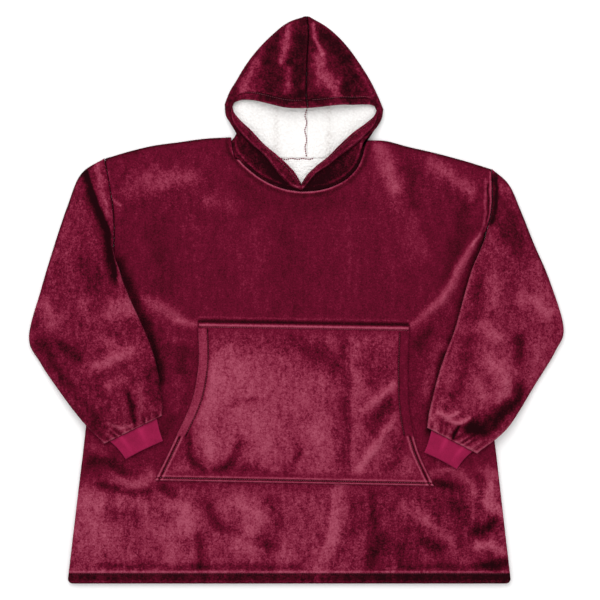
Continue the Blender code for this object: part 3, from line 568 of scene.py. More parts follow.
front = {
    "hemGroove": 0.0016, "columns": 258, "rows": 246,
    "folds": [
        (8.5, (15, 7), 376, 140, 350, 102, 324, 62, 306, 24, 280, -10, 236, -48),
        (-2.6, 7, 386, 128, 362, 76, 342, 24, 324, -12),
        (3.2, 13, -300, 8, -264, -12, -224, -36, -196, -50), (1.6, 9, -288, -36, -252, -76, -212, -86),
        (2.2, 20, -336, 260, -292, 248, -216, 240), (-1.8, 16, -300, 188, -272, 100, -260, 28),
        (2.0, 18, -220, 208, -200, 120, -200, 20), (1.7, 22, -92, 176, -80, 100, -88, 0),
        (-1.4, 16, -24, 160, -20, 76, -28, -8), (1.6, 18, 88, 188, 100, 108, 96, 0),
        (2.6, 15, 180, 300, 204, 236, 216, 172), (2.4, 16, 264, 276, 312, 248, 348, 208),
        (-2.0, 16, 240, 208, 268, 128, 288, 60), (-2.2, 11, 332, 172, 320, 120, 300, 76),
        (1.8, 14, 172, 140, 192, 60, 204, -8), (2.2, 20, -440, -400, -424, -480, -432, -532),
        (2.2, 16, -348, -348, -292, -368, -272, -356),
        (-1.8, 12, -396, -372, -340, -384, -296, -388, -252, -400),
        (2.2, 18, -272, -410, -220, -430, -200, -490), (-1.8, 12, -180, -400, -168, -440, -192, -520),
        (2.4, 18, -120, -400, -88, -430, -100, -520), (-1.7, 14, -56, -410, -60, -480, -40, -524),
        (2.8, (20, 10), 80, -388, 68, -460, 44, -536), (-2.2, 10, 108, -400, 100, -470, 80, -532),
        (-2.4, 9, 154, -384, 156, -460, 148, -532), (1.8, 10, 128, -420, 128, -490, 120, -532),
        (2.0, 14, 212, -412, 256, -436, 296, -472), (-2.0, 13, 256, -480, 288, -492, 312, -472),
        (2.6, 14, 384, -356, 396, -412, 408, -436), (-2.2, 10, 356, -464, 384, -456, 404, -440),
        (2.2, 10, 352, -496, 388, -492, 416, -500), (2.0, 9, 268, -348, 304, -340, 348, -356),
        (-2.0, 8, 280, -368, 312, -370, 332, -376),
    ],
    # crushed-pile patches mixed with painted light: painted shade in fold troughs, painted highlights on
    # fold crests and on the armhole seam ridges, and painted shadows on the body beside each sleeve's inner
    # edge
    "nap": [
        (0.42, 22, -324, 224, -272, 244, -216, 240), (0.26, 11, -236, 244, -208, 244),
        (-0.12, 30, -276, 148, -260, 80, -256, 20), (0.62, 17, -300, -8, -248, -28),
        (0.24, 32, 180, 244, 224, 172, 244, 100), (0.75, 8, -236, -40, -200, -50),
        (-0.85, 12, -356, 76, -320, -8, -288, -80, -272, -160), (0.40, 12, -236, -160, -240, -216),
        (0.25, 10, -260, -76, -208, -86), (-0.30, 16, -220, -100, -240, -200, -256, -260),
        (-0.15, 20, -120, 240, -68, 200, 8, 188, 88, 204), (0.28, 16, -184, 208, -128, 188),
        (-0.06, 30, -12, 140, 0, 0), (0.06, 24, -112, 120, -100, 0), (0.06, 26, 112, 168, 120, 20),
        (0.65, 14, 164, 304, 184, 264, 196, 228), (0.60, 16, 268, 270, 312, 248, 348, 212),
        (-0.30, 14, 228, 260, 236, 190), (-0.30, 15, 340, 188, 328, 120, 300, 48),
        (0.60, (12, 7), 368, 128, 344, 96, 320, 60, 302, 20, 276, -10, 236, -46),
        (-0.95, 11, 384, 136, 364, 76, 348, 20, 332, -36, 318, -80),
        (0.45, 12, 288, -90, 272, -144, 256, -184), (-0.80, 12, 296, -112, 280, -200, 268, -260),
        (-0.40, 12, 264, -60, 244, -90), (0.30, 15, -412, -296, -384, -304),
        (-0.50, 12, -408, -324, -372, -324, -344, -348), (0.55, 14, -360, -360, -312, -364, -288, -352),
        (-0.55, 9, -392, -372, -340, -382, -296, -386), (0.40, 34, -420, -400, -392, -480),
        (0.30, 20, -336, -400, -296, -440), (-0.35, 16, -368, -424, -320, -440),
        (-0.60, 10, -266, -376, -244, -394), (0.50, 18, -248, -404, -216, -428, -224, -460),
        (0.35, 20, -260, -472, -248, -512), (-0.55, 11, -192, -476, -192, -536),
        (-0.50, 12, -180, -408, -160, -448), (0.50, 20, -116, -408, -80, -428, -88, -456),
        (-0.45, 10, -144, -460, -116, -464), (0.45, 14, -120, -492, -92, -504),
        (-0.50, 12, -76, -480, -40, -492), (0.35, 12, -24, -496, -16, -520),
        (-0.35, 14, -48, -400, -36, -448), (0.55, (30, 7), 76, -384, 70, -460, 44, -536),
        (-0.35, 22, 120, -400, 116, -460), (-0.35, 12, 154, -392, 156, -460, 148, -536),
        (-0.40, 16, 172, -480, 156, -532), (-0.45, 12, 88, -504, 68, -536),
        (0.40, 12, 216, -416, 248, -432), (0.50, 9, 260, -440, 288, -464, 308, -480),
        (-0.50, 12, 252, -484, 284, -496), (-0.35, 18, 204, -480, 216, -520),
        (0.85, 15, 388, -348, 392, -400, 408, -436), (-0.75, 12, 360, -464, 388, -452, 400, -440),
        (0.75, 11, 364, -492, 400, -492, 412, -504), (-0.70, 10, 376, -532, 416, -524),
        (-0.60, 9, 280, -368, 320, -374), (0.45, 10, 272, -348, 308, -340, 344, -360, 356, -388),
        (-0.40, 12, 312, -400, 336, -440), (0.25, 12, 312, -500, 332, -520),
        (-0.45, 7, -392, -532, -192, -534, 8, -534), (-0.40, 6, 208, -534, 408, -534),
        (0.95, 2.6, 389, 256, 390, 222, 386, 168, 379, 138), (-0.80, 2.2, 385, 232, 385, 196, 381, 150),
        (0.75, 2.6, 380, 242, 381, 220, 378, 190, 375, 150, 368, 130, 350, 108),
        (0.75, 2.4, -376, 256, -372, 220, -362, 198, -352, 190),
    ],
    "crush": [
        (0.9, 60, -332, 228, -212, 220), (0.8, 50, 268, 248, 348, 220), (0.8, 50, -292, -20, -232, -160),
        (0.8, 40, 288, -40, 258, -180), (0.7, 60, -428, -312, -332, -360),
        (0.7, 60, 308, -352, 398, -400), (0.4, 50, 198, 260, 198, 200),
    ],
}


def frontHeight(x, y):  # soft folds of the front, flat where the pocket lies
    relief = strokes(x, y, front["folds"], True) / 1000
    raised = np.clip(relief, 0, None) * clearOfSleeves(x, y, 0.003, 0.014) * clearOfPocket(x, y)
    return raised + np.clip(relief, -0.0035, 0)


x, y, fromSide, fromHem, fromTop = bodyPlan(neckEdge, front["columns"], front["rows"])
rounding = bodyRounding(y, fromSide, fromHem, fromTop)
fromHemSeam, fromNeck = fromHem - body["hemBand"], nearLine(x, y, frontNeck)[0]
seamLine = bump(fromHemSeam, 0.0014)
puff = 0.0007 * (bump(fromHemSeam - 0.0042, 0.0022) + bump(fromHem - 0.011, 0.006))
fade = ease(np.minimum(fromSide, fromTop) / 0.02) * ease((fromHem - 0.012) / 0.02)
folds = frontHeight(x, y)
z = frontTop + folds * fade + puff - np.maximum(rounding, front["hemGroove"] * seamLine)
ripple = 0.5 * np.sin(x * 61 + 2.0 * np.sin(x * 23)) + 0.5 * np.sin(x * 137 + 1.0)
z = z + 0.0004 * ripple * bump(fromHemSeam, 0.006)
byNeck = ease((0.314 - y) / 0.03)
z = z + 0.0014 * bump(fromNeck - 0.0030, 0.0024) * byNeck - 0.0010 * bump(fromNeck - 0.0085, 0.0030)
nap = between(0.85, 1.0, ease((-0.30 - y) / 0.08)) * unevenStrokes(x, y, front["nap"])
# painted light that follows the folds: crests lighter, troughs darker; darker on the hem seam line
nap = nap + folds * 40 - 0.9 * seamLine
nap = nap - 0.16 + between(0.38, 0.12, ease((x - 0.03) / 0.2)) * ease((-0.34 - y) / 0.06)
neckShown = byNeck * between(1.0, 0.45, ease((x - 0.06) / 0.04))
# a painted highlight on the neck seam's ridge, and painted shade in the dip inside it
nap = nap + 1.2 * neckShown * bump(fromNeck - 0.0022, 0.0022) - 0.30 * bump(fromNeck - 0.0090, 0.0040)
(leftX, leftY), (rightX, rightY) = pocket["left"][0], pocket["right"][0]
overPocket = y - np.interp(x, (leftX, rightX), (leftY, rightY))
overPocket = np.where((x > leftX) & (x < rightX), overPocket, 1.0)
# a painted highlight on a crease above the pocket, and a painted shadow of the pocket's top edge
nap = nap + 0.34 * bump(overPocket - 0.0085, 0.0020) - 0.65 * bump(overPocket - 0.0010, 0.0034)
# a painted highlight on the ridge above the hem seam
nap = nap + 0.7 * bump(fromHemSeam - 0.0035, 0.0018)
# painted shade over the hem band below its seam, and lighter near the band's lower edge
nap = nap - 0.85 * ease(-fromHemSeam / 0.002) + 0.40 * bump(fromHem - 0.0040, 0.0030)
# painted shade along the rolled shoulder edges, and a darker line along the armhole edges
nap = nap - 0.45 * bump(fromTop - 0.0010, 0.0040) * (fromNeck > 0.02)
nap = nap - 0.5 * bump(fromSide - 0.0005, 0.0014) * ease((y - 0.08) / 0.03)
crush = 0.40 + 0.48 * ease((-0.345 - y) / 0.06) + 0.30 * strokes(x, y, front["crush"])
frontPanel = slab("front_panel", spot(x, y, z), body["cloth"] + body["lay"], plushDown, nap, crush)
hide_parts("front")

back = {
    "columns": 150, "rows": 142,
    "folds": [
        (1.6, 16, -300, -480, -260, -300, -280, -160), (1.3, 14, -150, -520, -120, -380, -150, -220),
        (1.5, 18, 20, -540, 40, -380, 10, -200, 30, -60), (1.4, 14, 190, -520, 170, -360, 210, -230),
        (1.6, 16, 330, -500, 300, -340, 320, -200), (1.4, 15, -250, 60, -180, 140, -160, 230),
        (1.4, 15, 260, 40, 190, 130, 180, 220), (1.2, 14, -60, 60, 0, 90, 80, 70),
    ],
    "nap": [
        (0.5, 34, -330, -420, -300, -300), (-0.5, 30, -200, -440, -180, -260),
        (0.5, 36, -60, -430, -40, -240), (-0.5, 30, 90, -400, 100, -180), (0.5, 36, 250, -430, 260, -240),
        (-0.4, 40, -180, 20, -60, 60), (0.45, 36, 60, 120, 200, 60), (0.4, 30, -280, 180, -200, 220),
        (-0.4, 30, 240, 200, 330, 150),
    ],
}
x, y, fromSide, fromHem, fromTop = bodyPlan(backNeckEdge, back["columns"], back["rows"])
atNeck = (x > -0.134) & (x < 0.144)
rounding = bodyRounding(y, fromSide, fromHem, np.where(atNeck, 1.0, fromTop))
seamLine = bump(fromHem - body["hemBand"], 0.0014)
fade = ease(np.minimum(np.minimum(fromSide, fromTop), fromHem - 0.012) / 0.03)
lifted = strokes(x, y, back["folds"], True) / 1000 * fade + 0.0014 * seamLine
backPanel = slab("back_panel", spot(x, y, np.maximum(rounding, lifted)), body["cloth"], plushDown,
                 unevenStrokes(x, y, back["nap"]) - 0.8 * seamLine, 0.7 + 0 * x)
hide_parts("back")
print("body made")


# Pocket

pocket["folds"] = [
    (4.2, (9, 12), 200, -164, 172, -192, 136, -218), (4.0, (9, 12), 204, -224, 168, -280, 120, -344),
    (-1.6, 9, 192, -196, 156, -240, 124, -272), (1.8, 9, 120, -104, 168, -100, 200, -124),
    (-1.5, 8, 128, -144, 168, -144),
    (-1.3, 12, -218, -272, -210, -316, -172, -346, -136, -328, -116, -288),
    (2.2, 16, -180, -240, -172, -292, -164, -316), (2.0, 12, -252, -348, -212, -356, -152, -360),
    (-0.8, 9, -136, -212, -100, -200, -60, -200), (1.8, 18, -120, -104, -80, -160, -68, -260),
    (-1.4, 16, -8, -80, 32, -112, 68, -124), (1.6, 20, 0, -188, 40, -260, 44, -324),
    (-0.7, 8, -10, -340, 0, -320, 10, -298), (-1.6, 7, 106, -92, 108, -200, 106, -340),
    (2.0, 12, 88, -92, 90, -200, 88, -340), (1.4, 12, -168, -80, -160, -144, -180, -200),
    (1.6, 10, 228, -300, 204, -332, 176, -352), (-1.3, 9, -40, -280, -68, -340),
]
# crushed-pile patches mixed with painted light: painted shade in the U-shaped crease and the fold troughs,
# painted highlights on the fold crests and the stitched lines
pocket["nap"] = [
    (0.30, 60, -120, -160, 8, -200), (0.35, 40, -140, -120, -120, -280),
    (0.55, 18, -176, -132, -180, -200, -184, -260), (0.60, 14, -176, -280, -164, -316),
    (-0.85, 9, -218, -272, -210, -316, -172, -348, -136, -328, -116, -292),
    (0.45, 26, -68, -240, -52, -320), (0.40, 26, 44, -260, 60, -336),
    (-0.60, 22, 0, -76, 36, -104, 72, -128), (-0.30, 18, -144, -76, -80, -80, -32, -92),
    (-0.45, 6, -132, -210, -98, -202, -60, -200), (-0.45, 9, -116, -272, -100, -288),
    (-0.60, 5, -8, -340, 8, -300), (0.35, (22, 4), 102, -90, 104, -200, 102, -348),
    (-0.55, (4, 26), 106, -90, 108, -200, 106, -348), (-0.35, 34, 160, -120, 176, -260),
    (0.80, 9, 196, -168, 168, -194, 136, -218), (0.75, 8, 200, -228, 168, -280, 124, -340),
    (-0.40, 12, 192, -200, 152, -248), (-0.40, 14, 212, -292, 188, -340),
    (0.35, 12, 124, -152, 136, -184), (0.50, 6, -252, -362, -72, -364, 108, -364, 248, -362),
    (-0.45, 9, -104, -348, -12, -352), (-0.35, 16, -140, -340, -68, -336),
    (0.45, 12, -260, -348, -220, -352), (0.30, 12, 236, -324, 256, -348),
]


def pocketPlan(columns, rows):
    left, right = along(pocket["left"]), along(pocket["right"])
    fine = np.array([0.0, 0.0005, 0.0012, 0.0020, 0.0030, 0.0042, 0.0054, 0.0068])
    length = pocket["length"]
    down = np.concatenate([fine, np.linspace(0.0085, length - 0.0085, rows), length - fine[::-1]])
    a, b = left(down / length), right(down / length)
    width = lengths(b - a)[:, None]
    steps = np.concatenate([fine, np.linspace(0.0085, 0.0165, 6), [0.0172, 0.0180, 0.0188, 0.0196, 0.0206]])
    inside = between(0.0220, width - 0.0220, np.linspace(0, 1, columns)[None])
    across = np.concatenate([steps + 0 * width, inside, width - steps[::-1]], axis=1)
    plan = between(a[:, None], b[:, None], (across / width)[..., None])
    fromSide, down = np.minimum(across, width - across), down[:, None] + 0 * across
    return plan[..., 0], plan[..., 1], fromSide, down, across < width / 2


x, y, fromSide, down, onLeft = pocketPlan(165, 146)
length, band = pocket["length"], pocket["band"]
fromRim = np.minimum(fromSide, np.minimum(down, length - down))
rounding = roundDrop(fromRim, pocket["edge"])
inside = ease((fromRim - 0.012) / 0.022)
aboveSewn = ease((y - pocket["openingEnd"]) / 0.003)
opening, sewn = aboveSewn * ease((down - 0.013) / 0.004), 1 - aboveSewn
raised = pocket["bandRaise"] * opening * ease((band - fromSide) / 0.0022)
doubleSides = sewn * (bump(fromSide - 0.0026, 0.0018) + bump(fromSide - 0.0128, 0.0020))
doubleTop = bump(down - 0.0070, 0.0024) * (fromSide > 0.002)
doubleLow = bump(length - down - 0.0020, 0.0018) + bump(length - down - 0.0105, 0.0020)
grooves = (opening * bump(fromSide - band - 0.0008, 0.0014) + sewn * bump(fromSide - 0.0078, 0.0020)
           + 0.6 * bump(down - 0.0112, 0.0014) + bump(length - down - 0.0064, 0.0018))
grooves = np.clip(grooves, 0, 1)
flatUnder = frontTop + pocket["lay"]
relief = np.clip(strokes(x, y, pocket["folds"], True) / 1000, -0.0022, 0.006) * inside
under = flatUnder + np.clip(relief, 0, None)
top = flatUnder + pocket["cloth"] + relief + raised - rounding - 0.0013 * grooves
top = top + 0.0011 * np.clip(doubleSides + doubleTop + doubleLow, 0, 1) * ease(fromRim / 0.002)
# the pocket's patches inside its rim, with painted light that follows the folds: crests lighter, troughs
# darker
nap = (0.8 * unevenStrokes(x, y, pocket["nap"]) + 0.24) * inside + np.clip(relief, -0.002, 0.004) * 40
# painted highlights on the stitched ridges, and painted shade in the grooves and along the pocket's top
# edge
nap = nap + 0.80 * (doubleSides + doubleLow) + 1.00 * doubleTop - 0.9 * grooves - 0.8 * bump(down, 0.0030)
nap = nap + opening * (fromSide < band) * np.where(onLeft, 0.34, -0.14)
pocketPanel = shell("pocket_panel", spot(x, y, top), spot(x, y, under), plushDown, nap,
                    crush=between(0.35, 0.80, inside))
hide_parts("pocket")
print("pocket made")


# Sleeves and cuffs: flattened tubes that climb from the floor on to the front

def climb(side, x, y, full):
    outside = sideLeft(y) - x if side == "left" else x - sideRight(y)
    length = sleeve["roofLength"] if full == 0 else sleeve["climbLength"]
    start, end = sleeve["climbStart"][side], sleeve["climbEnd"][side]
    share = ease((start - y) / (start - end))
    return (frontTop + body["lay"]) * ease(1 - (outside - full) / length) * share


def tube(name, line, width, counts, half, wall, rise, side, relief, endRound, material, tones):
    width, half, wall, rise = (np.broadcast_to(v, width.shape)[:, None] for v in (width, half, wall, rise))
    bend = np.array([0.0, 0.05, 0.16, 0.32, 0.52, 0.75])
    steps = np.concatenate([bend * half, between(half, width - half, np.linspace(0, 1, counts)[None]),
                            width - bend[::-1] * half], axis=1)
    nearest = np.minimum(steps, width - steps)
    arch = rise * ease(nearest / (0.35 * width))
    circle = half - roundDrop(nearest, half)
    x, y = line(steps / width)
    roof, floor = climb(side, x, y, 0), climb(side, x, y, sleeve["climbFull"])
    lift = relief(x, y, nearest)
    lower = floor + half - circle
    upper = roof + half + circle + arch + lift - endRound[:, None] * (circle / half)
    upper = np.maximum(upper, lower + 0.0004)
    inset = between(wall, width - wall, steps / width)
    part = np.sqrt(np.clip(np.minimum(inset - wall, width - wall - inset) / 0.003, 0.02, 1.0))
    xIn, yIn = line(inset / width)
    low = climb(side, xIn, yIn, sleeve["climbFull"]) + wall
    high = np.maximum(climb(side, xIn, yIn, 0) + 2 * half + arch + np.minimum(lift, 0) - wall
                      - endRound[:, None], low + 0.0006)
    centre = (high + low) / 2
    high, low = between(centre, high, part), between(centre, low, part)
    high = np.minimum(high, upper - 0.0008 * part)
    thin = np.arange(0, steps.shape[1], 3)
    thin = np.unique(np.concatenate([[0, 1, 3, 5], thin[2:-2], steps.shape[1] - np.array([6, 4, 2, 1])]))

    def ring(x, y, top, bottom):
        top = top.copy()
        for end in (0, -1):
            top[:, end] = (top[:, end] + bottom[:, end]) / 2
        under = thin[1:-1][::-1]
        return np.concatenate([spot(x, y, top), spot(x, y, bottom)[:, under]], axis=1)

    nap = tones(x, y, nearest, lift)
    nap = np.concatenate([nap, 0.3 * nap[:, thin[1:-1][::-1]]], axis=1)
    outer, inner = ring(x, y, upper, lower), ring(xIn, yIn, high, low)
    return shell(name, outer, inner, material, nap, closed=True)


sleeve["folds"] = {
    "left": [
        (-4.5, (5, 10), -418, 260, -406, 212, -390, 176, -376, 140, -368, 96, -360, 52),
        (1.4, 9, -444, 260, -432, 190, -408, 100), (2.4, 5, -384, 260, -372, 208, -356, 184),
        (2.6, 16, -472, 200, -460, 100, -424, 0), (2.6, 15, -504, 0, -480, -32, -452, -12),
        (-2.0, 11, -488, -80, -444, -100, -420, -140), (3.0, 14, -384, -24, -348, 0, -320, -8),
        (-1.8, 9, -384, -76, -344, -60), (3.0, 12, -396, -124, -360, -112, -324, -104),
        (-2.0, 10, -424, -172, -384, -160, -340, -144), (2.6, 12, -460, -184, -424, -216, -392, -248),
        (-3.6, 5, -336, -172, -328, -204, -326, -244), (3.2, 6, -314, -168, -312, -208, -312, -236),
        (3.0, 6, -352, -184, -344, -216, -340, -252), (-2.4, 4, -368, -244, -360, -256, -350, -264),
        (2.4, 5, -376, -240, -356, -248, -340, -254), (2.2, 6, -296, -184, -290, -216, -288, -236),
        (-2.0, 5, -396, -236, -380, -264), (2.0, 18, -496, 120, -512, 20), (-1.6, 12, -396, 76, -376, 0),
    ],
    "right": [
        (-3.5, 6, 400, 240, 406, 196, 396, 144), (2.8, 5, 390, 256, 394, 216, 386, 160, 376, 128),
        (2.6, 6, 416, 200, 408, 148, 388, 104), (2.8, 15, 448, 200, 480, 100, 488, 0),
        (-2.2, 13, 416, 100, 432, 20, 448, -40), (2.6, 13, 456, -8, 488, -20, 508, -60),
        (3.0, 14, 376, -44, 396, -80, 424, -72), (-2.0, 12, 444, -68, 448, -104, 436, -140),
        (3.0, 16, 392, -120, 412, -160, 400, -196), (-2.8, 15, 440, -184, 416, -220, 380, -248),
        (3.4, 5, 284, -222, 304, -232, 322, -222), (3.4, 5, 304, -236, 324, -246, 346, -236),
        (-2.6, 5, 288, -240, 308, -256), (-3.6, 4, 328, -248, 318, -264, 314, -276),
        (2.6, 6, 304, -252, 308, -268), (2.4, 8, 348, -260, 340, -280),
        (2.6, 10, 380, -292, 408, -264, 428, -228), (-2.2, 6, 360, -260, 352, -292),
        (2.0, 12, 332, -100, 316, -160, 300, -196), (-1.8, 8, 376, 88, 368, 20, 356, -40),
    ],
}
# crushed-pile patches mixed with painted light: a painted shadow in the valley by each armhole, painted
# highlights on fold and pleat crests and painted shade in their troughs
sleeve["nap"] = {
    "left": [
        (-1.20, (3, 13), -418, 258, -406, 212, -390, 176, -376, 140, -368, 92, -358, 48),
        (0.50, 7, -398, 270, -388, 220, -376, 172), (0.10, 14, -448, 232, -432, 170),
        (0.45, 15, -508, -8, -484, -52), (0.60, 16, -372, -36, -344, -8, -320, -16),
        (-0.40, 12, -472, -88, -436, -116), (0.60, 12, -396, -132, -360, -116, -328, -104),
        (0.35, 14, -384, -76, -368, -92), (-0.45, 15, -512, -88, -484, -124, -452, -172),
        (0.35, 12, -372, -168, -344, -156), (-0.60, 5, -334, -188, -326, -216, -324, -240),
        (0.35, 6, -310, -172, -308, -220), (-0.30, 10, -292, -144, -284, -200),
        (-0.30, 20, -424, 76, -408, 28), (0.25, 14, -488, 120, -492, 60),
        (-0.40, 14, -432, -200, -400, -248), (0.60, 4, -372, -246, -352, -254, -328, -250),
        (-0.45, 5, -292, -60, -276, -144, -268, -200), (0.3, 12, -428, 0, -412, -40),
    ],
    "right": [
        (-1.00, (4, 7), 400, 252, 402, 220, 398, 188, 392, 156), (0.55, 15, 452, -4, 480, 8, 500, -20),
        (-0.50, 24, 420, 172, 444, 100), (0.40, 15, 372, -52, 400, -72),
        (0.55, 18, 384, -112, 416, -144, 408, -192), (-0.50, 11, 448, -72, 446, -108),
        (-0.85, 15, 448, -184, 416, -220, 384, -248, 352, -256), (-0.55, 12, 344, -260, 368, -260),
        (0.90, 4, 284, -224, 304, -232, 322, -222), (0.90, 4, 304, -238, 324, -246, 346, -236),
        (-0.90, 3, 326, -252, 318, -266, 314, -278), (0.45, 12, 360, -160, 376, -208),
        (0.55, 6, 384, -300, 408, -276, 432, -252), (0.35, 7, 268, -228, 280, -260),
        (0.25, 16, 488, -80, 476, -140), (-0.35, 12, 348, -80, 332, -144, 312, -188),
        (0.30, 14, 400, 40, 388, -8), (-0.30, 12, 364, 40, 352, -36),
    ],
}


def makeSleeve(side):
    table = np.array(sleeve[side])
    keys = range(len(table))
    outer, inner, rise = (through(keys, part) for part in (table[:, :2], table[:, 2:4], table[:, 4]))
    stations = np.concatenate([[0, 0.008, 0.02, 0.036, 0.055, 0.08], np.linspace(0.11, 8.86, 168),
                               [8.90, 8.93, 8.955, 8.975, 8.99, 9.0]])
    start, end = outer(stations), inner(stations)
    seam, away = (sideLeft, -body["seamSide"]) if side == "left" else (sideRight, body["seamSide"])
    bowShare = np.clip(1 - stations / 1.3, 0, 1)[:, None]

    def line(share):
        x, y = between(start[:, :1], end[:, :1], share), between(start[:, 1:], end[:, 1:], share)
        bow = seam(between(start[0, 1], end[0, 1], share)) + away - between(start[0, 0], end[0, 0], share)
        return x + bow * bowShare, y

    def gathers(nearest):
        return 0.5 + 0.5 * np.sin(nearest * 420 + 1.2 * np.sin(nearest * 170 + (side == "left")))

    def relief(x, y, nearest):
        share = stations[:, None]
        bunch = 0.0030 * (gathers(nearest) - 0.4) * ease((share - 8.1) / 0.8) * ease(nearest / 0.012)
        inside = ease(nearest / 0.012) * ease(share / 0.25)
        return strokes(x, y, sleeve["folds"][side], True) / 1000 * inside + bunch

    def tones(x, y, nearest, lift):
        share = stations[:, None]
        # the crushed pile's patches, with painted light that follows the fold height: crests lighter,
        # troughs darker
        sleeveNapAndShade = 1.05 * unevenStrokes(x, y, sleeve["nap"][side]) + np.clip(lift, -0.003, 0.003) * 55
        sleeveNapAndShade = sleeveNapAndShade + sleeve["level"][side]
        outward = x if side == "left" else -x
        # a painted highlight along the sleeve's folded edges nearer the body
        edge = sleeve["edgeHighlight"][side] * bump(nearest - 0.0022, 0.0020) * ease((outward + 0.44) / 0.06)
        # painted light on the gathers by the cuff: crests lighter, folds darker
        sleeveNapAndShade = sleeveNapAndShade + 0.45 * (gathers(nearest) - 0.5) * ease((share - 8.3) / 0.6)
        # painted shade along the edges of the sleeve's outer, upper part
        edgeShade = 0.45 * bump(nearest - 0.0010, 0.0036) * ease((4.5 - share) / 1.0) * (abs(x) > 0.40)
        # a painted highlight on the sleeve's rolled end by the cuff, and painted shade at the armhole
        return sleeveNapAndShade + 0.9 * bump(share - 8.98, 0.05) + edge - 0.35 * bump(share, 0.04) - edgeShade

    nearCuff = ease((stations - 8) / 1.0)
    half = between(sleeve["half"], 0.0056, nearCuff)
    endRound = 0.0028 * roundEnd(1 - stations / 0.09) + 0.0050 * roundEnd(1 - (9 - stations) / 0.12)
    width, rise = lengths(end - start), np.clip(rise(stations), 0, None)
    piece = tube("sleeve_" + side + "_cloth", line, width, 84, half, sleeve["wall"], rise, side, relief,
                 endRound, plushSleeve, tones)
    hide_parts("sleeve_" + side)
    return piece


cuff = {
    "length": 0.047, "half": 0.0031, "wall": 0.0016, "rise": 0.0022,
    "ribPitch": 0.0021, "ribDepth": 0.00035,
}


def makeCuff(side):
    last = np.array(sleeve[side][-1])
    a, b = last[:2], last[2:4]
    way = (b - a) / np.linalg.norm(b - a)
    onward = np.array([way[1], -way[0]]) if side == "left" else np.array([-way[1], way[0]])
    first = [between(a, b, s) + onward * 0.0006 for s in (0.09, 0.91)]
    second = [between(a, b, s) + onward * cuff["length"] for s in (0.19, 0.84)]
    share = np.concatenate([[0, 0.01, 0.03, 0.06], np.linspace(0.1, 0.92, 22),
                            [0.95, 0.97, 0.985, 0.995, 1.0]])
    start, end = (between(first[i], second[i], share[:, None]) for i in (0, 1))
    sag = 0.0022 * np.sin(np.pi * share)[:, None]
    start, end = start + way * sag, end - way * sag * 0.6

    def line(across):
        curl = 0.0016 * np.sin(np.pi * across) * ease((share[:, None] - 0.5) / 0.5)
        x = between(start[:, :1], end[:, :1], across) - onward[0] * curl
        return x, between(start[:, 1:], end[:, 1:], across) - onward[1] * curl

    width = lengths(end - start)
    ribs = width[0] / cuff["ribPitch"]

    def relief(x, y, nearest):
        across = ((x - start[:, :1]) * way[0] + (y - start[:, 1:]) * way[1]) / width[:, None]
        pleat = bump(across - 0.22, 0.05) + bump(across - 0.62, 0.06)
        pleat = 0.0010 * pleat * ease(1.1 - share[:, None])
        return cuff["ribDepth"] * np.sin(2 * np.pi * ribs * across) * ease(nearest / 0.003) + pleat

    def tones(x, y, nearest, lift):
        # painted light on the rib crests, and painted shade where the cuff meets the sleeve's end and along
        # its rolled far end
        fold = -1.2 * bump(share, 0.05) - 0.7 * bump(share - 1.0, 0.02)
        return lift / cuff["ribDepth"] * 0.6 + fold[:, None]

    endRound = 0.0022 * roundEnd(1 - (1 - share) / 0.05)
    piece = tube("cuff_" + side + "_rib", line, width, 216, cuff["half"], cuff["wall"], cuff["rise"], side,
                 relief, endRound, ribKnit, tones)
    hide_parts("cuff_" + side)
    return piece


sleeves = {side: makeSleeve(side) for side in sides}
cuffs = {side: makeCuff(side) for side in sides}
print("sleeves made")


# Hood: two halves, each a back layer, a folded edge, a crown, a crescent and the hem band of the opening

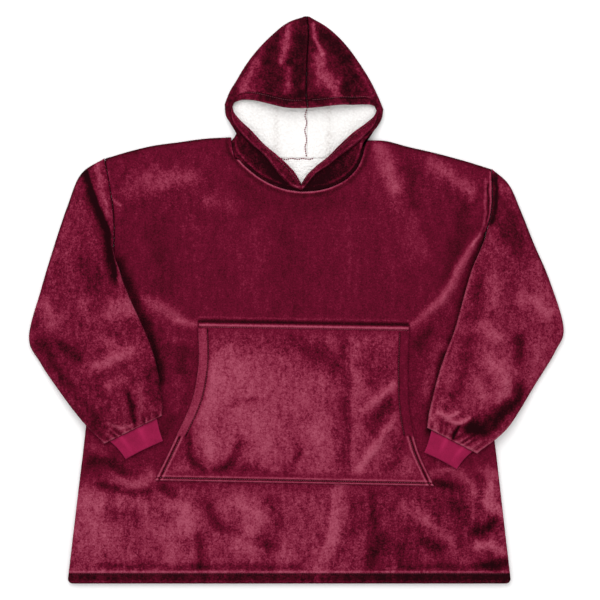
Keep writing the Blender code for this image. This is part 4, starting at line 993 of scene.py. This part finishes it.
hood = {
    "outer": 0.003, "lining": 0.005, "turnedHem": 0.0075, "lip": 0.0008, "edgeHalf": 0.0080,
    "neckHalf": 0.0065, "crownRise": 0.015, "crownReach": 0.110, "cornerReach": 0.016,
    "crescentTop": 0.0155, "bandTop": 0.0235, "vTop": 0.0205, "backSeamX": 0.022, "cornerY": 0.386,
    "seam": [(0.021, 0.568), (0.024, 0.549), (0.022, 0.485), (0.021, 0.447), (0.021, 0.401),
             (0.024, 0.383)],
    # outline from the peak to the corner of the opening, and on to the shoulder
    "outline": {
        "left": [(0.014, 0.567), (-0.014, 0.557), (-0.050, 0.529), (-0.080, 0.498), (-0.103, 0.467),
                 (-0.118, 0.442), (-0.134, 0.415), (-0.143, 0.392)],
        "right": [(0.028, 0.567), (0.063, 0.546), (0.089, 0.523), (0.114, 0.493), (0.135, 0.462),
                  (0.150, 0.437), (0.166, 0.404), (0.175, 0.382)]},
    "cheek": {
        "left": [(-0.143, 0.392), (-0.140, 0.368), (-0.128, 0.350), (-0.119, 0.337), (-0.123, 0.327),
                 (-0.1285, 0.320)],
        "right": [(0.175, 0.382), (0.172, 0.364), (0.162, 0.346), (0.146, 0.331), (0.139, 0.323),
                  (0.1385, 0.316)]},
    "forehead": {
        "left": [(-0.127, 0.387), (-0.124, 0.394), (-0.115, 0.3985), (-0.093, 0.400), (-0.070, 0.396),
                 (-0.047, 0.390), (-0.019, 0.384), (0.024, 0.383)],
        "right": [(0.161, 0.379), (0.160, 0.385), (0.153, 0.3895), (0.138, 0.391), (0.114, 0.390),
                  (0.089, 0.390), (0.063, 0.387), (0.024, 0.383)]},
    "opening": {
        "left": [(-0.127, 0.387), (-0.1245, 0.377), (-0.115, 0.364), (-0.090, 0.340), (-0.064, 0.312),
                 (-0.039, 0.291), (-0.019, 0.273), (-0.003, 0.256), (0.0108, 0.233)],
        "right": [(0.161, 0.379), (0.157, 0.370), (0.140, 0.354), (0.114, 0.335), (0.089, 0.312),
                  (0.063, 0.286), (0.038, 0.266), (0.020, 0.248), (0.0112, 0.233)]},
    "bandEdge": {
        "left": [(-0.130, 0.384), (-0.126, 0.356), (-0.114, 0.338), (-0.090, 0.312), (-0.064, 0.290),
                 (-0.049, 0.271), (-0.029, 0.245), (-0.010, 0.228), (0.0108, 0.2195)],
        "right": [(0.164, 0.375), (0.158, 0.352), (0.140, 0.330), (0.114, 0.307), (0.089, 0.289),
                  (0.063, 0.268), (0.038, 0.251), (0.022, 0.231), (0.0112, 0.2195)]},
    "folds": [
        (2.2, 9, -18, 540, -20, 488, -24, 424), (1.8, 8, -60, 512, -68, 460, -76, 416),
        (-1.8, 9, -40, 520, -46, 468, -50, 408), (2.0, 9, 44, 528, 58, 480, 76, 420),
        (-1.6, 8, 70, 512, 96, 468, 112, 416), (1.8, 8, 108, 496, 132, 452, 148, 412),
        (1.6, 6, 32, 532, 34, 460, 34, 404), (-1.6, 5, -96, 440, -68, 424, -12, 416),
        (1.4, 6, -112, 428, -80, 416, -32, 404),
    ],
    # crushed-pile patches mixed with painted light: painted highlights on the ridges beside the centre seam
    # and on the neck seam ridge, painted shade in the fold troughs
    "nap": [
        (-0.35, 24, 8, 520, 0, 440), (0.85, 9, -14, 556, -20, 512, -28, 476),
        (0.70, 8, -14, 460, -18, 416), (0.75, 13, -80, 484, -92, 444, -104, 416),
        (-0.22, 14, -48, 492, -52, 432), (0.90, 5, 34, 552, 40, 520, 52, 492),
        (0.80, 14, 40, 480, 58, 448, 78, 416), (-0.30, 16, 64, 524, 104, 484, 120, 448),
        (0.50, 12, 120, 472, 144, 436, 156, 416), (-0.30, 10, 8, 408, 48, 400),
        (-0.35, 14, 96, 424, 112, 404), (-0.25, 12, -68, 408, -12, 400),
        (-0.25, 18, -112, 320, -68, 264, -12, 228, 48, 228, 112, 264, 156, 308),
        (0.45, 4, -126, 296, -88, 254, -26, 224, 14, 218),
    ],
}


def hoodRows(side, crown, cheek):
    outline = np.concatenate([along(hood["outline"][side])(crown), along(hood["cheek"][side])(cheek)])
    lastY = body["backNeck"][4][1]
    backY = np.concatenate([between(hood["seam"][0][1], hood["cornerY"], crown),
                            between(hood["cornerY"], lastY, cheek)])
    sign = -1 if side == "left" else 1
    return outline, np.stack([hood["backSeamX"] + sign * body["lay"] / 2 + 0 * backY, backY], axis=1)


def towards(a, b, distance):  # points at distances from a towards b, one row for each pair
    length = lengths(b - a)[:, None, None]
    return between(a[:, None], b[:, None], distance[..., None] / length)


def backLayer(shares, outline, back, cheek, inset, gap=body["seamSide"] / 2):
    length = lengths(outline - back)[:, None]
    plan = towards(back, outline, shares * (length - inset))
    neckX = between(back[-1, 0], outline[-1, 0], shares[-1] * (1 - inset[-1] / length[-1]))
    drop = backNeckEdge(neckX) + gap - plan[-1, :, 1]
    weight = np.concatenate([np.zeros(len(outline) - len(cheek)), cheek**2])
    plan[..., 1] += weight[:, None] * drop
    return plan


def makeHoodHalf(side):
    sign = -1 if side == "left" else 1
    crown = np.concatenate([np.linspace(0, 0.94, 84), [0.952, 0.964, 0.974, 0.982, 0.989, 0.995, 1.0]])
    cheek = np.concatenate([np.linspace(0, 0.97, 76)[1:], [0.98, 0.99, 1.0]])
    outline, back = hoodRows(side, crown, cheek)
    nCrown, rows = len(crown), len(crown) + len(cheek)
    thinner = np.concatenate([1 - ease(crown / 0.3), cheek])[:, None]
    half = between(hood["edgeHalf"], hood["neckHalf"], thinner)

    lower = backLayer(np.linspace(0, 1, 22)[None] + 0 * half, outline, back, cheek, half)

    nCres, crescentShares = 34, np.linspace(0, 1, 35)[1:]
    bandShares = np.array([0.02, 0.05, 0.09, 0.14, 0.20, 0.30, 0.42, 0.54, 0.66, 0.76, 0.84, 0.90,
                           0.94, 0.97, 0.99, 1.0])
    bandLine, openingLine = along(hood["bandEdge"][side]), along(hood["opening"][side])
    seamPoints = along(hood["seam"])(crown) + np.array([sign * body["lay"] / 2, 0.0])
    reachShares = np.linspace(0, 1, 1 + nCres + len(bandShares))
    toSeam = lengths(seamPoints - outline[:nCrown])[:, None]
    reach = np.minimum(hood["cornerReach"], 0.45 * toSeam)
    fold = np.minimum(half[:nCrown], 0.5 * reach)
    crownCheek = towards(outline[:nCrown], seamPoints, between(fold, reach, reachShares[None]))
    crownShares = np.concatenate([np.linspace(0, 0.94, 62)[1:], [0.955, 0.97, 0.98, 0.988, 0.994, 1.0]])
    crownCols = towards(outline[:nCrown], seamPoints, between(reach, toSeam, crownShares[None]))
    edge = along(hood["forehead"][side])(np.concatenate([[0.0], crownShares]))
    edge[-1] = seamPoints[-1]
    straight = np.concatenate([crownCheek[-1, -1:], crownCols[-1]])
    bend = (edge - straight)[None] * (crown**5)[:, None, None]
    crownCols = crownCols + bend[:, 1:]
    crownCheek = crownCheek + bend[:, :1] * reachShares[None, :, None]

    bandPoints, edgePoints = bandLine(cheek)[:, None], openingLine(cheek)[:, None]
    neckX = between(body["neckEnds"][side == "right"], body["frontX"], crescentShares)
    neckLine = np.stack([neckX, neckEdge(neckX)], axis=1)
    inward = np.array([[body["frontX"], 0.300]]) - neckLine
    neckLine = neckLine + inward / lengths(inward)[:, None] * body["seamSide"] / 2
    neckLine[-1] = bandPoints[-1, 0]
    aim = between(bandPoints[:, 0], neckLine[0], (cheek**4)[:, None])
    start = towards(outline[nCrown:], aim, half[nCrown:])
    crescent = between(start, bandPoints, crescentShares[None, :, None])
    bow = neckLine - between(start[-1], bandPoints[-1], crescentShares[:, None])
    crescent = crescent + bow[None] * (cheek**2)[:, None, None]
    bandCols = between(bandPoints, edgePoints, bandShares[None, :, None])
    upper = np.concatenate([crownCheek, np.concatenate([start, crescent, bandCols], axis=1)])

    distance = lengths(upper - outline[:, None])
    top = 2 * half + hood["crownRise"] * ease(distance / hood["crownReach"])
    room = lengths(bandPoints - outline[nCrown:, None])
    seamFall = between(hood["crescentTop"], frontTop - 0.0012, ease((cheek - 0.86) / 0.14))[:, None]
    cres = slice(1, nCres + 1)
    top[nCrown:, cres] = between(top[nCrown:, cres], seamFall, ease(room / 0.035))
    bandHigh = between(hood["bandTop"], hood["vTop"], ease((cheek - 0.7) / 0.3))[:, None]
    bandHigh = between(top[nCrown - 1, -1] + 0.001, bandHigh, ease(cheek[:, None] / 0.35))
    puffed = 0.0016 * np.sin(np.pi * bandShares) - 0.0010 * bump(bandShares - 0.78, 0.07)
    rises = ease(bandShares / 0.16)[None]
    low = top[nCrown:, nCres:nCres + 1]
    top[nCrown:, nCres + 1:] = between(low, bandHigh + puffed * ease(cheek / 0.2)[:, None], rises)
    cloth = between(hood["outer"], body["cloth"] - 0.0010, ease(distance / 0.02)) + 0 * top
    cloth[nCrown:, nCres + 1:] = between(0.0055, hood["turnedHem"], rises)
    cloth[-1, :nCres + 1] = body["cloth"] - hood["lip"]

    crownDistance = lengths(crownCols - outline[:nCrown, None])
    fromSeam = lengths(crownCols - seamPoints[:, None])
    crownTop = 2 * half[:nCrown] + hood["crownRise"] * ease(crownDistance / hood["crownReach"])
    crownCloth = between(body["cloth"] - 0.0010, hood["turnedHem"], ease((crown - 0.80) / 0.1))
    crownCloth = crownCloth[:, None] + 0 * crownTop
    fromEdge = lengths(crownCols - crownCols[-1:])
    crownTop = crownTop - 0.0022 * bump(fromSeam, 0.0013) + 0.0005 * bump(fromSeam - 0.0045, 0.0028)
    hemLine = bump(fromEdge - 0.0155, 0.0016) * ease(crownDistance / 0.03)
    crownTop = crownTop - 0.0015 * hemLine + 0.0014 * bump(fromEdge - 0.008, 0.006) * (fromEdge < 0.02)

    def relief(plan, spare):
        return strokes(plan[..., 0], plan[..., 1], hood["folds"], True) / 1000 * ease(spare / 0.012)

    crownFree = np.minimum(fromSeam, fromEdge - 0.012)
    crownTop = crownTop + relief(crownCols, crownFree)
    lift = relief(upper, np.where(np.arange(rows)[:, None] < nCrown, distance, 0))
    top = top + lift

    def rounded(topZ, thick, amount):
        middle = topZ - thick / 2
        high = between(topZ, middle + hood["lip"], amount)
        return high, between(topZ - thick, middle - hood["lip"], amount)

    amount = np.zeros_like(top)
    amount[nCrown:, nCres + 1:] = roundEnd((bandShares - 0.84) / 0.16)
    amount[nCrown - 1, -1] = 1.0
    topOut, topIn = rounded(top, cloth, amount)
    crownOut, crownIn = rounded(crownTop, crownCloth, roundEnd(1 - fromEdge / 0.0040))

    angles = np.radians(np.linspace(-78, 78, 9))
    inwards = upper[:, :1] - outline[:, None]
    inwards /= lengths(inwards)[..., None]
    bendPlan = outline[:, None] + inwards * (half * (1 - np.cos(angles)))[..., None]
    innerHalf = np.maximum(half - hood["outer"] * 1.3, 0.0012)
    innerPlan = outline[:, None] + inwards * (half - innerHalf * np.cos(angles))[..., None]
    blank = np.zeros((rows - nCrown, crownCols.shape[1], 3))

    def sheetOf(lowZ, plan, planZ, topZ, crownZ):
        crownPart = np.concatenate([onPlan(crownCols, crownZ), blank])
        return np.concatenate([onPlan(lower, lowZ), onPlan(plan, planZ), onPlan(upper, topZ),
                               crownPart], axis=1)

    outer = sheetOf(0.0, bendPlan, half + half * np.sin(angles), topOut, crownOut)
    inner = sheetOf(hood["outer"], innerPlan, half + innerHalf * np.sin(angles), topIn, crownIn)
    keep = np.ones((rows - 1, outer.shape[1] - 1), bool)
    keep[nCrown - 1:, -crownCols.shape[1]:] = False

    # the crushed pile's patches, with painted light that follows the fold height: crests lighter, troughs
    # darker
    tonesUp = unevenStrokes(upper[..., 0], upper[..., 1], hood["nap"]) + lift * 60 - 0.15
    fromNeck = nearLine(upper[..., 0], upper[..., 1], frontNeck)[0]
    # a painted highlight along a ridge line just inside the neck seam
    neckRidgeLight = 0.60 * bump(fromNeck - 0.0080, 0.0022) - 0.05 * bump(fromNeck - 0.0035, 0.0020)
    tonesUp = tonesUp + (np.arange(rows) >= nCrown)[:, None] * neckRidgeLight
    # the hem band is lighter overall, with painted highlights on its outer fold and on its lip, and darker
    # at its stitched groove
    bandTones = 0.22 + 0.55 * bump(bandShares - 0.16, 0.06) - 0.30 * bump(bandShares - 0.78, 0.06)
    tonesUp[nCrown:, nCres + 1:] += bandTones + 0.60 * bump(bandShares - 1.0, 0.08)
    # painted shadow of the raised band on the crescent, darkest next to the band
    tonesUp[nCrown:, 1:nCres + 1] -= 0.50 * ease((crescentShares - 0.45) / 0.5) * ease(cheek[:, None] / 0.3)
    tonesUp[-5:, :nCres] -= 0.3
    crownX, crownY = crownCols[..., 0], crownCols[..., 1]
    tonesCrown = 1.2 * unevenStrokes(crownX, crownY, hood["nap"]) - 0.8 * bump(fromSeam, 0.0012)
    wisps = 0.5 + 0.5 * np.sin(crownX * 410 + 2.5 * np.sin(crownX * 167))
    # darker in the stitched groove of the forehead hem, with a painted highlight broken into wisps just
    # beside it
    tonesCrown = tonesCrown - 0.12 - 0.6 * hemLine + 0.4 * wisps * bump(fromEdge - 0.0190, 0.0022)
    # a painted highlight, broken into wisps, along the folded forehead edge
    tonesCrown = tonesCrown + (0.25 + 0.5 * wisps) * bump(fromEdge - 0.0010, 0.0024)
    # painted light by height: the higher parts of the crown are lighter
    tonesCrown = tonesCrown + (crownTop - crownTop.mean()) * 6
    tones = np.concatenate([np.zeros((rows, lower.shape[1] + len(angles))), tonesUp,
                            np.concatenate([tonesCrown, np.zeros(blank.shape[:2])])], axis=1)
    piece = shell("hood_" + side + "_cloth", outer, inner, plushHood, tones, keep)
    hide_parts("hood_" + side)
    return piece


# Sherpa: curls as small raised whorls

def curls(x, y, seed, size=0.0046):
    high = np.empty(x.shape)
    flat = high.reshape(-1)
    for i, (a, b) in enumerate(zip(x.reshape(-1), y.reshape(-1))):
        near, far = noise.voronoi(Vector((a / size + seed, b / size, seed * 1.7)))[0][:2]
        flat[i] = 1 - min(near * 1.5, 1.0) ** 2 + 0.25 * min(far - near, 0.6)
    return high


# fold places: where painted shade stands in for two soft folds of the lining
sherpaLining = {"curlHeight": 0.0011, "seamDepth": 0.0012, "foldShadeX": {"left": -0.040, "right": 0.066}}


def makeHoodLining(side):
    crown = np.concatenate([np.linspace(0.10, 0.78, 22), np.linspace(0.79, 1.0, 32)])
    cheek = np.linspace(0, 1, 78)[1:]
    outline, back = hoodRows(side, crown, cheek)
    into = np.concatenate([0 * crown, cheek])[:, None]
    inset = between(0.0085, 0.026, ease(into)) + 0 * into
    shares = np.concatenate([[0, 0.004, 0.010, 0.018, 0.028], np.linspace(0.038, 0.97, 104),
                             [0.98, 0.99, 1.0]])
    plan = backLayer(shares[None] + 0 * into, outline, back, cheek, inset, 0.0001)
    length = lengths(outline - back)[:, None]
    fromEdge = (1 - shares) * (length - inset)
    fromSeam = shares * (length - inset)
    x, y = plan[..., 0], plan[..., 1]
    shown = ease((0.415 - y) / 0.02)
    pile = sherpaLining["curlHeight"] * (curls(x, y, 3.0 + (side == "left")) - 0.55) * shown
    thick = hood["lining"] * between(0.55, 1.0, ease(np.concatenate([crown, 1 + cheek]) / 0.25))[:, None]
    under = hood["outer"] + body["lay"]
    top = np.maximum(thick - roundDrop(fromEdge, 0.0038), hood["lip"]) + pile * ease(fromEdge / 0.004)
    lastRow = lengths(plan - plan[-1:])
    top = top - sherpaLining["seamDepth"] * bump(fromSeam, 0.0016) - 0.0010 * bump(lastRow, 0.0016)
    # painted light on the curl tops, darker seam lines, and painted shade standing in for two soft folds
    # that the mesh does not have
    tones = np.clip(pile / sherpaLining["curlHeight"] + 0.35, -0.4, 1) - 0.8 * bump(fromSeam, 0.0010)
    tones = tones - 0.6 * bump(lastRow, 0.0010) - 0.9 * bump(x - sherpaLining["foldShadeX"][side], 0.008)
    piece = shell("hood_lining_" + side + "_sherpa", spot(x, y, under + np.maximum(top, hood["lip"])),
                  spot(x, y, under), sherpaPile, tones)
    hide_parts("hood_lining_" + side)
    return piece


neckPatch = {"ends": (-0.058, 0.080), "thick": 0.0027, "edge": 0.0009}


def makeNeckLining():
    left, right = neckPatch["ends"]
    x = np.linspace(left, right, 100)[None]
    share = np.concatenate([[0.0, 0.01, 0.03], np.linspace(0.05, 0.95, 50), [0.97, 0.99, 1.0]])[:, None]
    high = backNeckEdge(x) - 0.4 * body["seamSide"]
    low = neckEdge(x) + 0.014 + 0.14 * np.abs(x - body["frontX"])
    y = between(low, high, share)
    x = x + 0 * y
    pile = sherpaLining["curlHeight"] * (curls(x, y, 7.0) - 0.6)
    edge = np.minimum(np.minimum(share, 1 - share) * (high - low), np.minimum(x - left, right - x))
    top = neckPatch["thick"] + pile * ease(edge / 0.003) - 0.0013 * bump(edge, 0.0012)
    base = body["cloth"] + body["lay"]
    # painted light on the curl tops, and darker along the seam at the back of the neck
    tones = np.clip(pile / sherpaLining["curlHeight"] + 0.35, -0.4, 1)
    tones = tones - 0.6 * bump((1 - share) * (high - low), 0.0015)
    outer, inner = spot(x, y, base + np.maximum(top, neckPatch["edge"])), spot(x, y, base)
    piece = shell("back_neck_sherpa", outer, inner, sherpaPile, tones)
    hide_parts("back_neck_lining")
    return piece


hoods = {side: makeHoodHalf(side) for side in sides}
linings = {side: makeHoodLining(side) for side in sides}
neckSherpa = makeNeckLining()
print("hood and linings made")


# Stitching, along the hems and the pocket

def beside(side, distance, low, high):  # a line at a distance inside a pocket side, between two y
    curve = along(pocket[side])(np.linspace(0, 1, 60))
    sign = 1 if side == "left" else -1
    picked = curve[(curve[:, 1] > low) & (curve[:, 1] < high)]
    return [((a + sign * distance) * 1000, b * 1000) for a, b in picked[::4]]


hemLine = [(across, (body["hemY"] + body["hemBand"]) * 1000) for across in (-449, -150, 150, 423)]
frontStitches = stitches("front_stitching", [hemLine], frontPanel)
backStitches = stitches("back_stitching", [hemLine], backPanel, fromBelow=True)


def pocketAcross(down):
    a, b = along(pocket["left"])(down / length), along(pocket["right"])(down / length)
    a, b = between(a, b, 0.012), between(a, b, 0.988)
    return [tuple(between(a, b, s) * 1000) for s in (0, 0.33, 0.66, 1)]


pocketLines = [pocketAcross(0.0112), pocketAcross(length - 0.0064)]
for which in sides:
    pocketLines.append(beside(which, pocket["band"] + 0.0008, pocket["openingEnd"] + 0.004, -0.062))
    pocketLines.append(beside(which, 0.0090, -0.355, pocket["openingEnd"] - 0.004))
pocketStitches = stitches("pocket_stitching", pocketLines, pocketPanel)

for which in sides:
    shares = np.linspace(0.08, 0.985, 12)
    bandLine = between(along(hood["bandEdge"][which])(shares), along(hood["opening"][which])(shares), 0.78)
    fore = along(hood["forehead"][which])(np.linspace(0.12, 0.93, 8)) + np.array([0.0, 0.0155])
    lines = [bandLine * 1000, fore * 1000]
    stitches("hood_" + which + "_stitching", lines, hoods[which])
neckSeam = [(-30, 283.2), (-20, 281.4), (-8, 283.2), (4, 281.2), (14, 283.0), (24, 281.6), (36, 283.2)]
neckStitches = stitches("neck_seam_stitching", [neckSeam], neckSherpa, radius=0.0013)
liningSeam = [(21.4, 382), (18.2, 368), (21.2, 356), (17.8, 340), (21.0, 322), (18.4, 306), (21.0, 286)]
liningStitches = stitches("lining_seam_stitching", [liningSeam], linings["left"], radius=0.0013)
print("stitching made")


# Floor, light and camera

studio = {
    "floor": (0.93, 0.93, 0.93), "world": 0.80, "lens": 179.5, "camera": (0.008, 0.0, 6.0),
    # place, size, power
    "lights": [((-0.4, 2.2, 2.9), 2.8, 72.0), ((-2.4, 0.6, 2.6), 2.0, 16.0),
               ((2.0, -1.4, 3.0), 2.4, 18.0)],
}
floorMesh = bpy.data.meshes.new("floor")
floorCorners = [(-9, -9, -0.0004), (9, -9, -0.0004), (9, 9, -0.0004), (-9, 9, -0.0004)]
floorMesh.from_pydata(floorCorners, [], [(0, 1, 2, 3)])
floor = bpy.data.objects.new("floor", floorMesh)
collection.objects.link(floor)
paper, paperPlace, paperFeed = newMaterial("paper_floor", {"Roughness": 0.9, "Specular IOR Level": 0.1})
sheen = noiseOn(paperPlace, 3.0)
paperFeed(Base_Color=sheen.ramp([(0.0, studio["floor"]), (1.0, (0.95, 0.95, 0.95))]))
floorMesh.materials.append(paper)

world = bpy.data.worlds.new("studio")
scene.world = world
world.use_nodes = True
background = world.node_tree.nodes["Background"]
background.inputs["Color"].default_value = (1.0, 1.0, 1.0, 1.0)
background.inputs["Strength"].default_value = studio["world"]
for i, (place, size, power) in enumerate(studio["lights"]):
    light = bpy.data.lights.new("softbox_%d" % i, "AREA")
    light.size, light.energy = size, power
    lamp = bpy.data.objects.new(light.name, light)
    lamp.location = place
    lamp.rotation_euler = (-Vector(place)).to_track_quat("-Z", "Y").to_euler()
    scene.collection.objects.link(lamp)

camera = bpy.data.objects.new("camera", bpy.data.cameras.new("camera"))
camera.data.sensor_width, camera.data.lens = 36.0, studio["lens"]
camera.location = studio["camera"]
scene.collection.objects.link(camera)
scene.camera = camera
scene.view_settings.view_transform = "Standard"
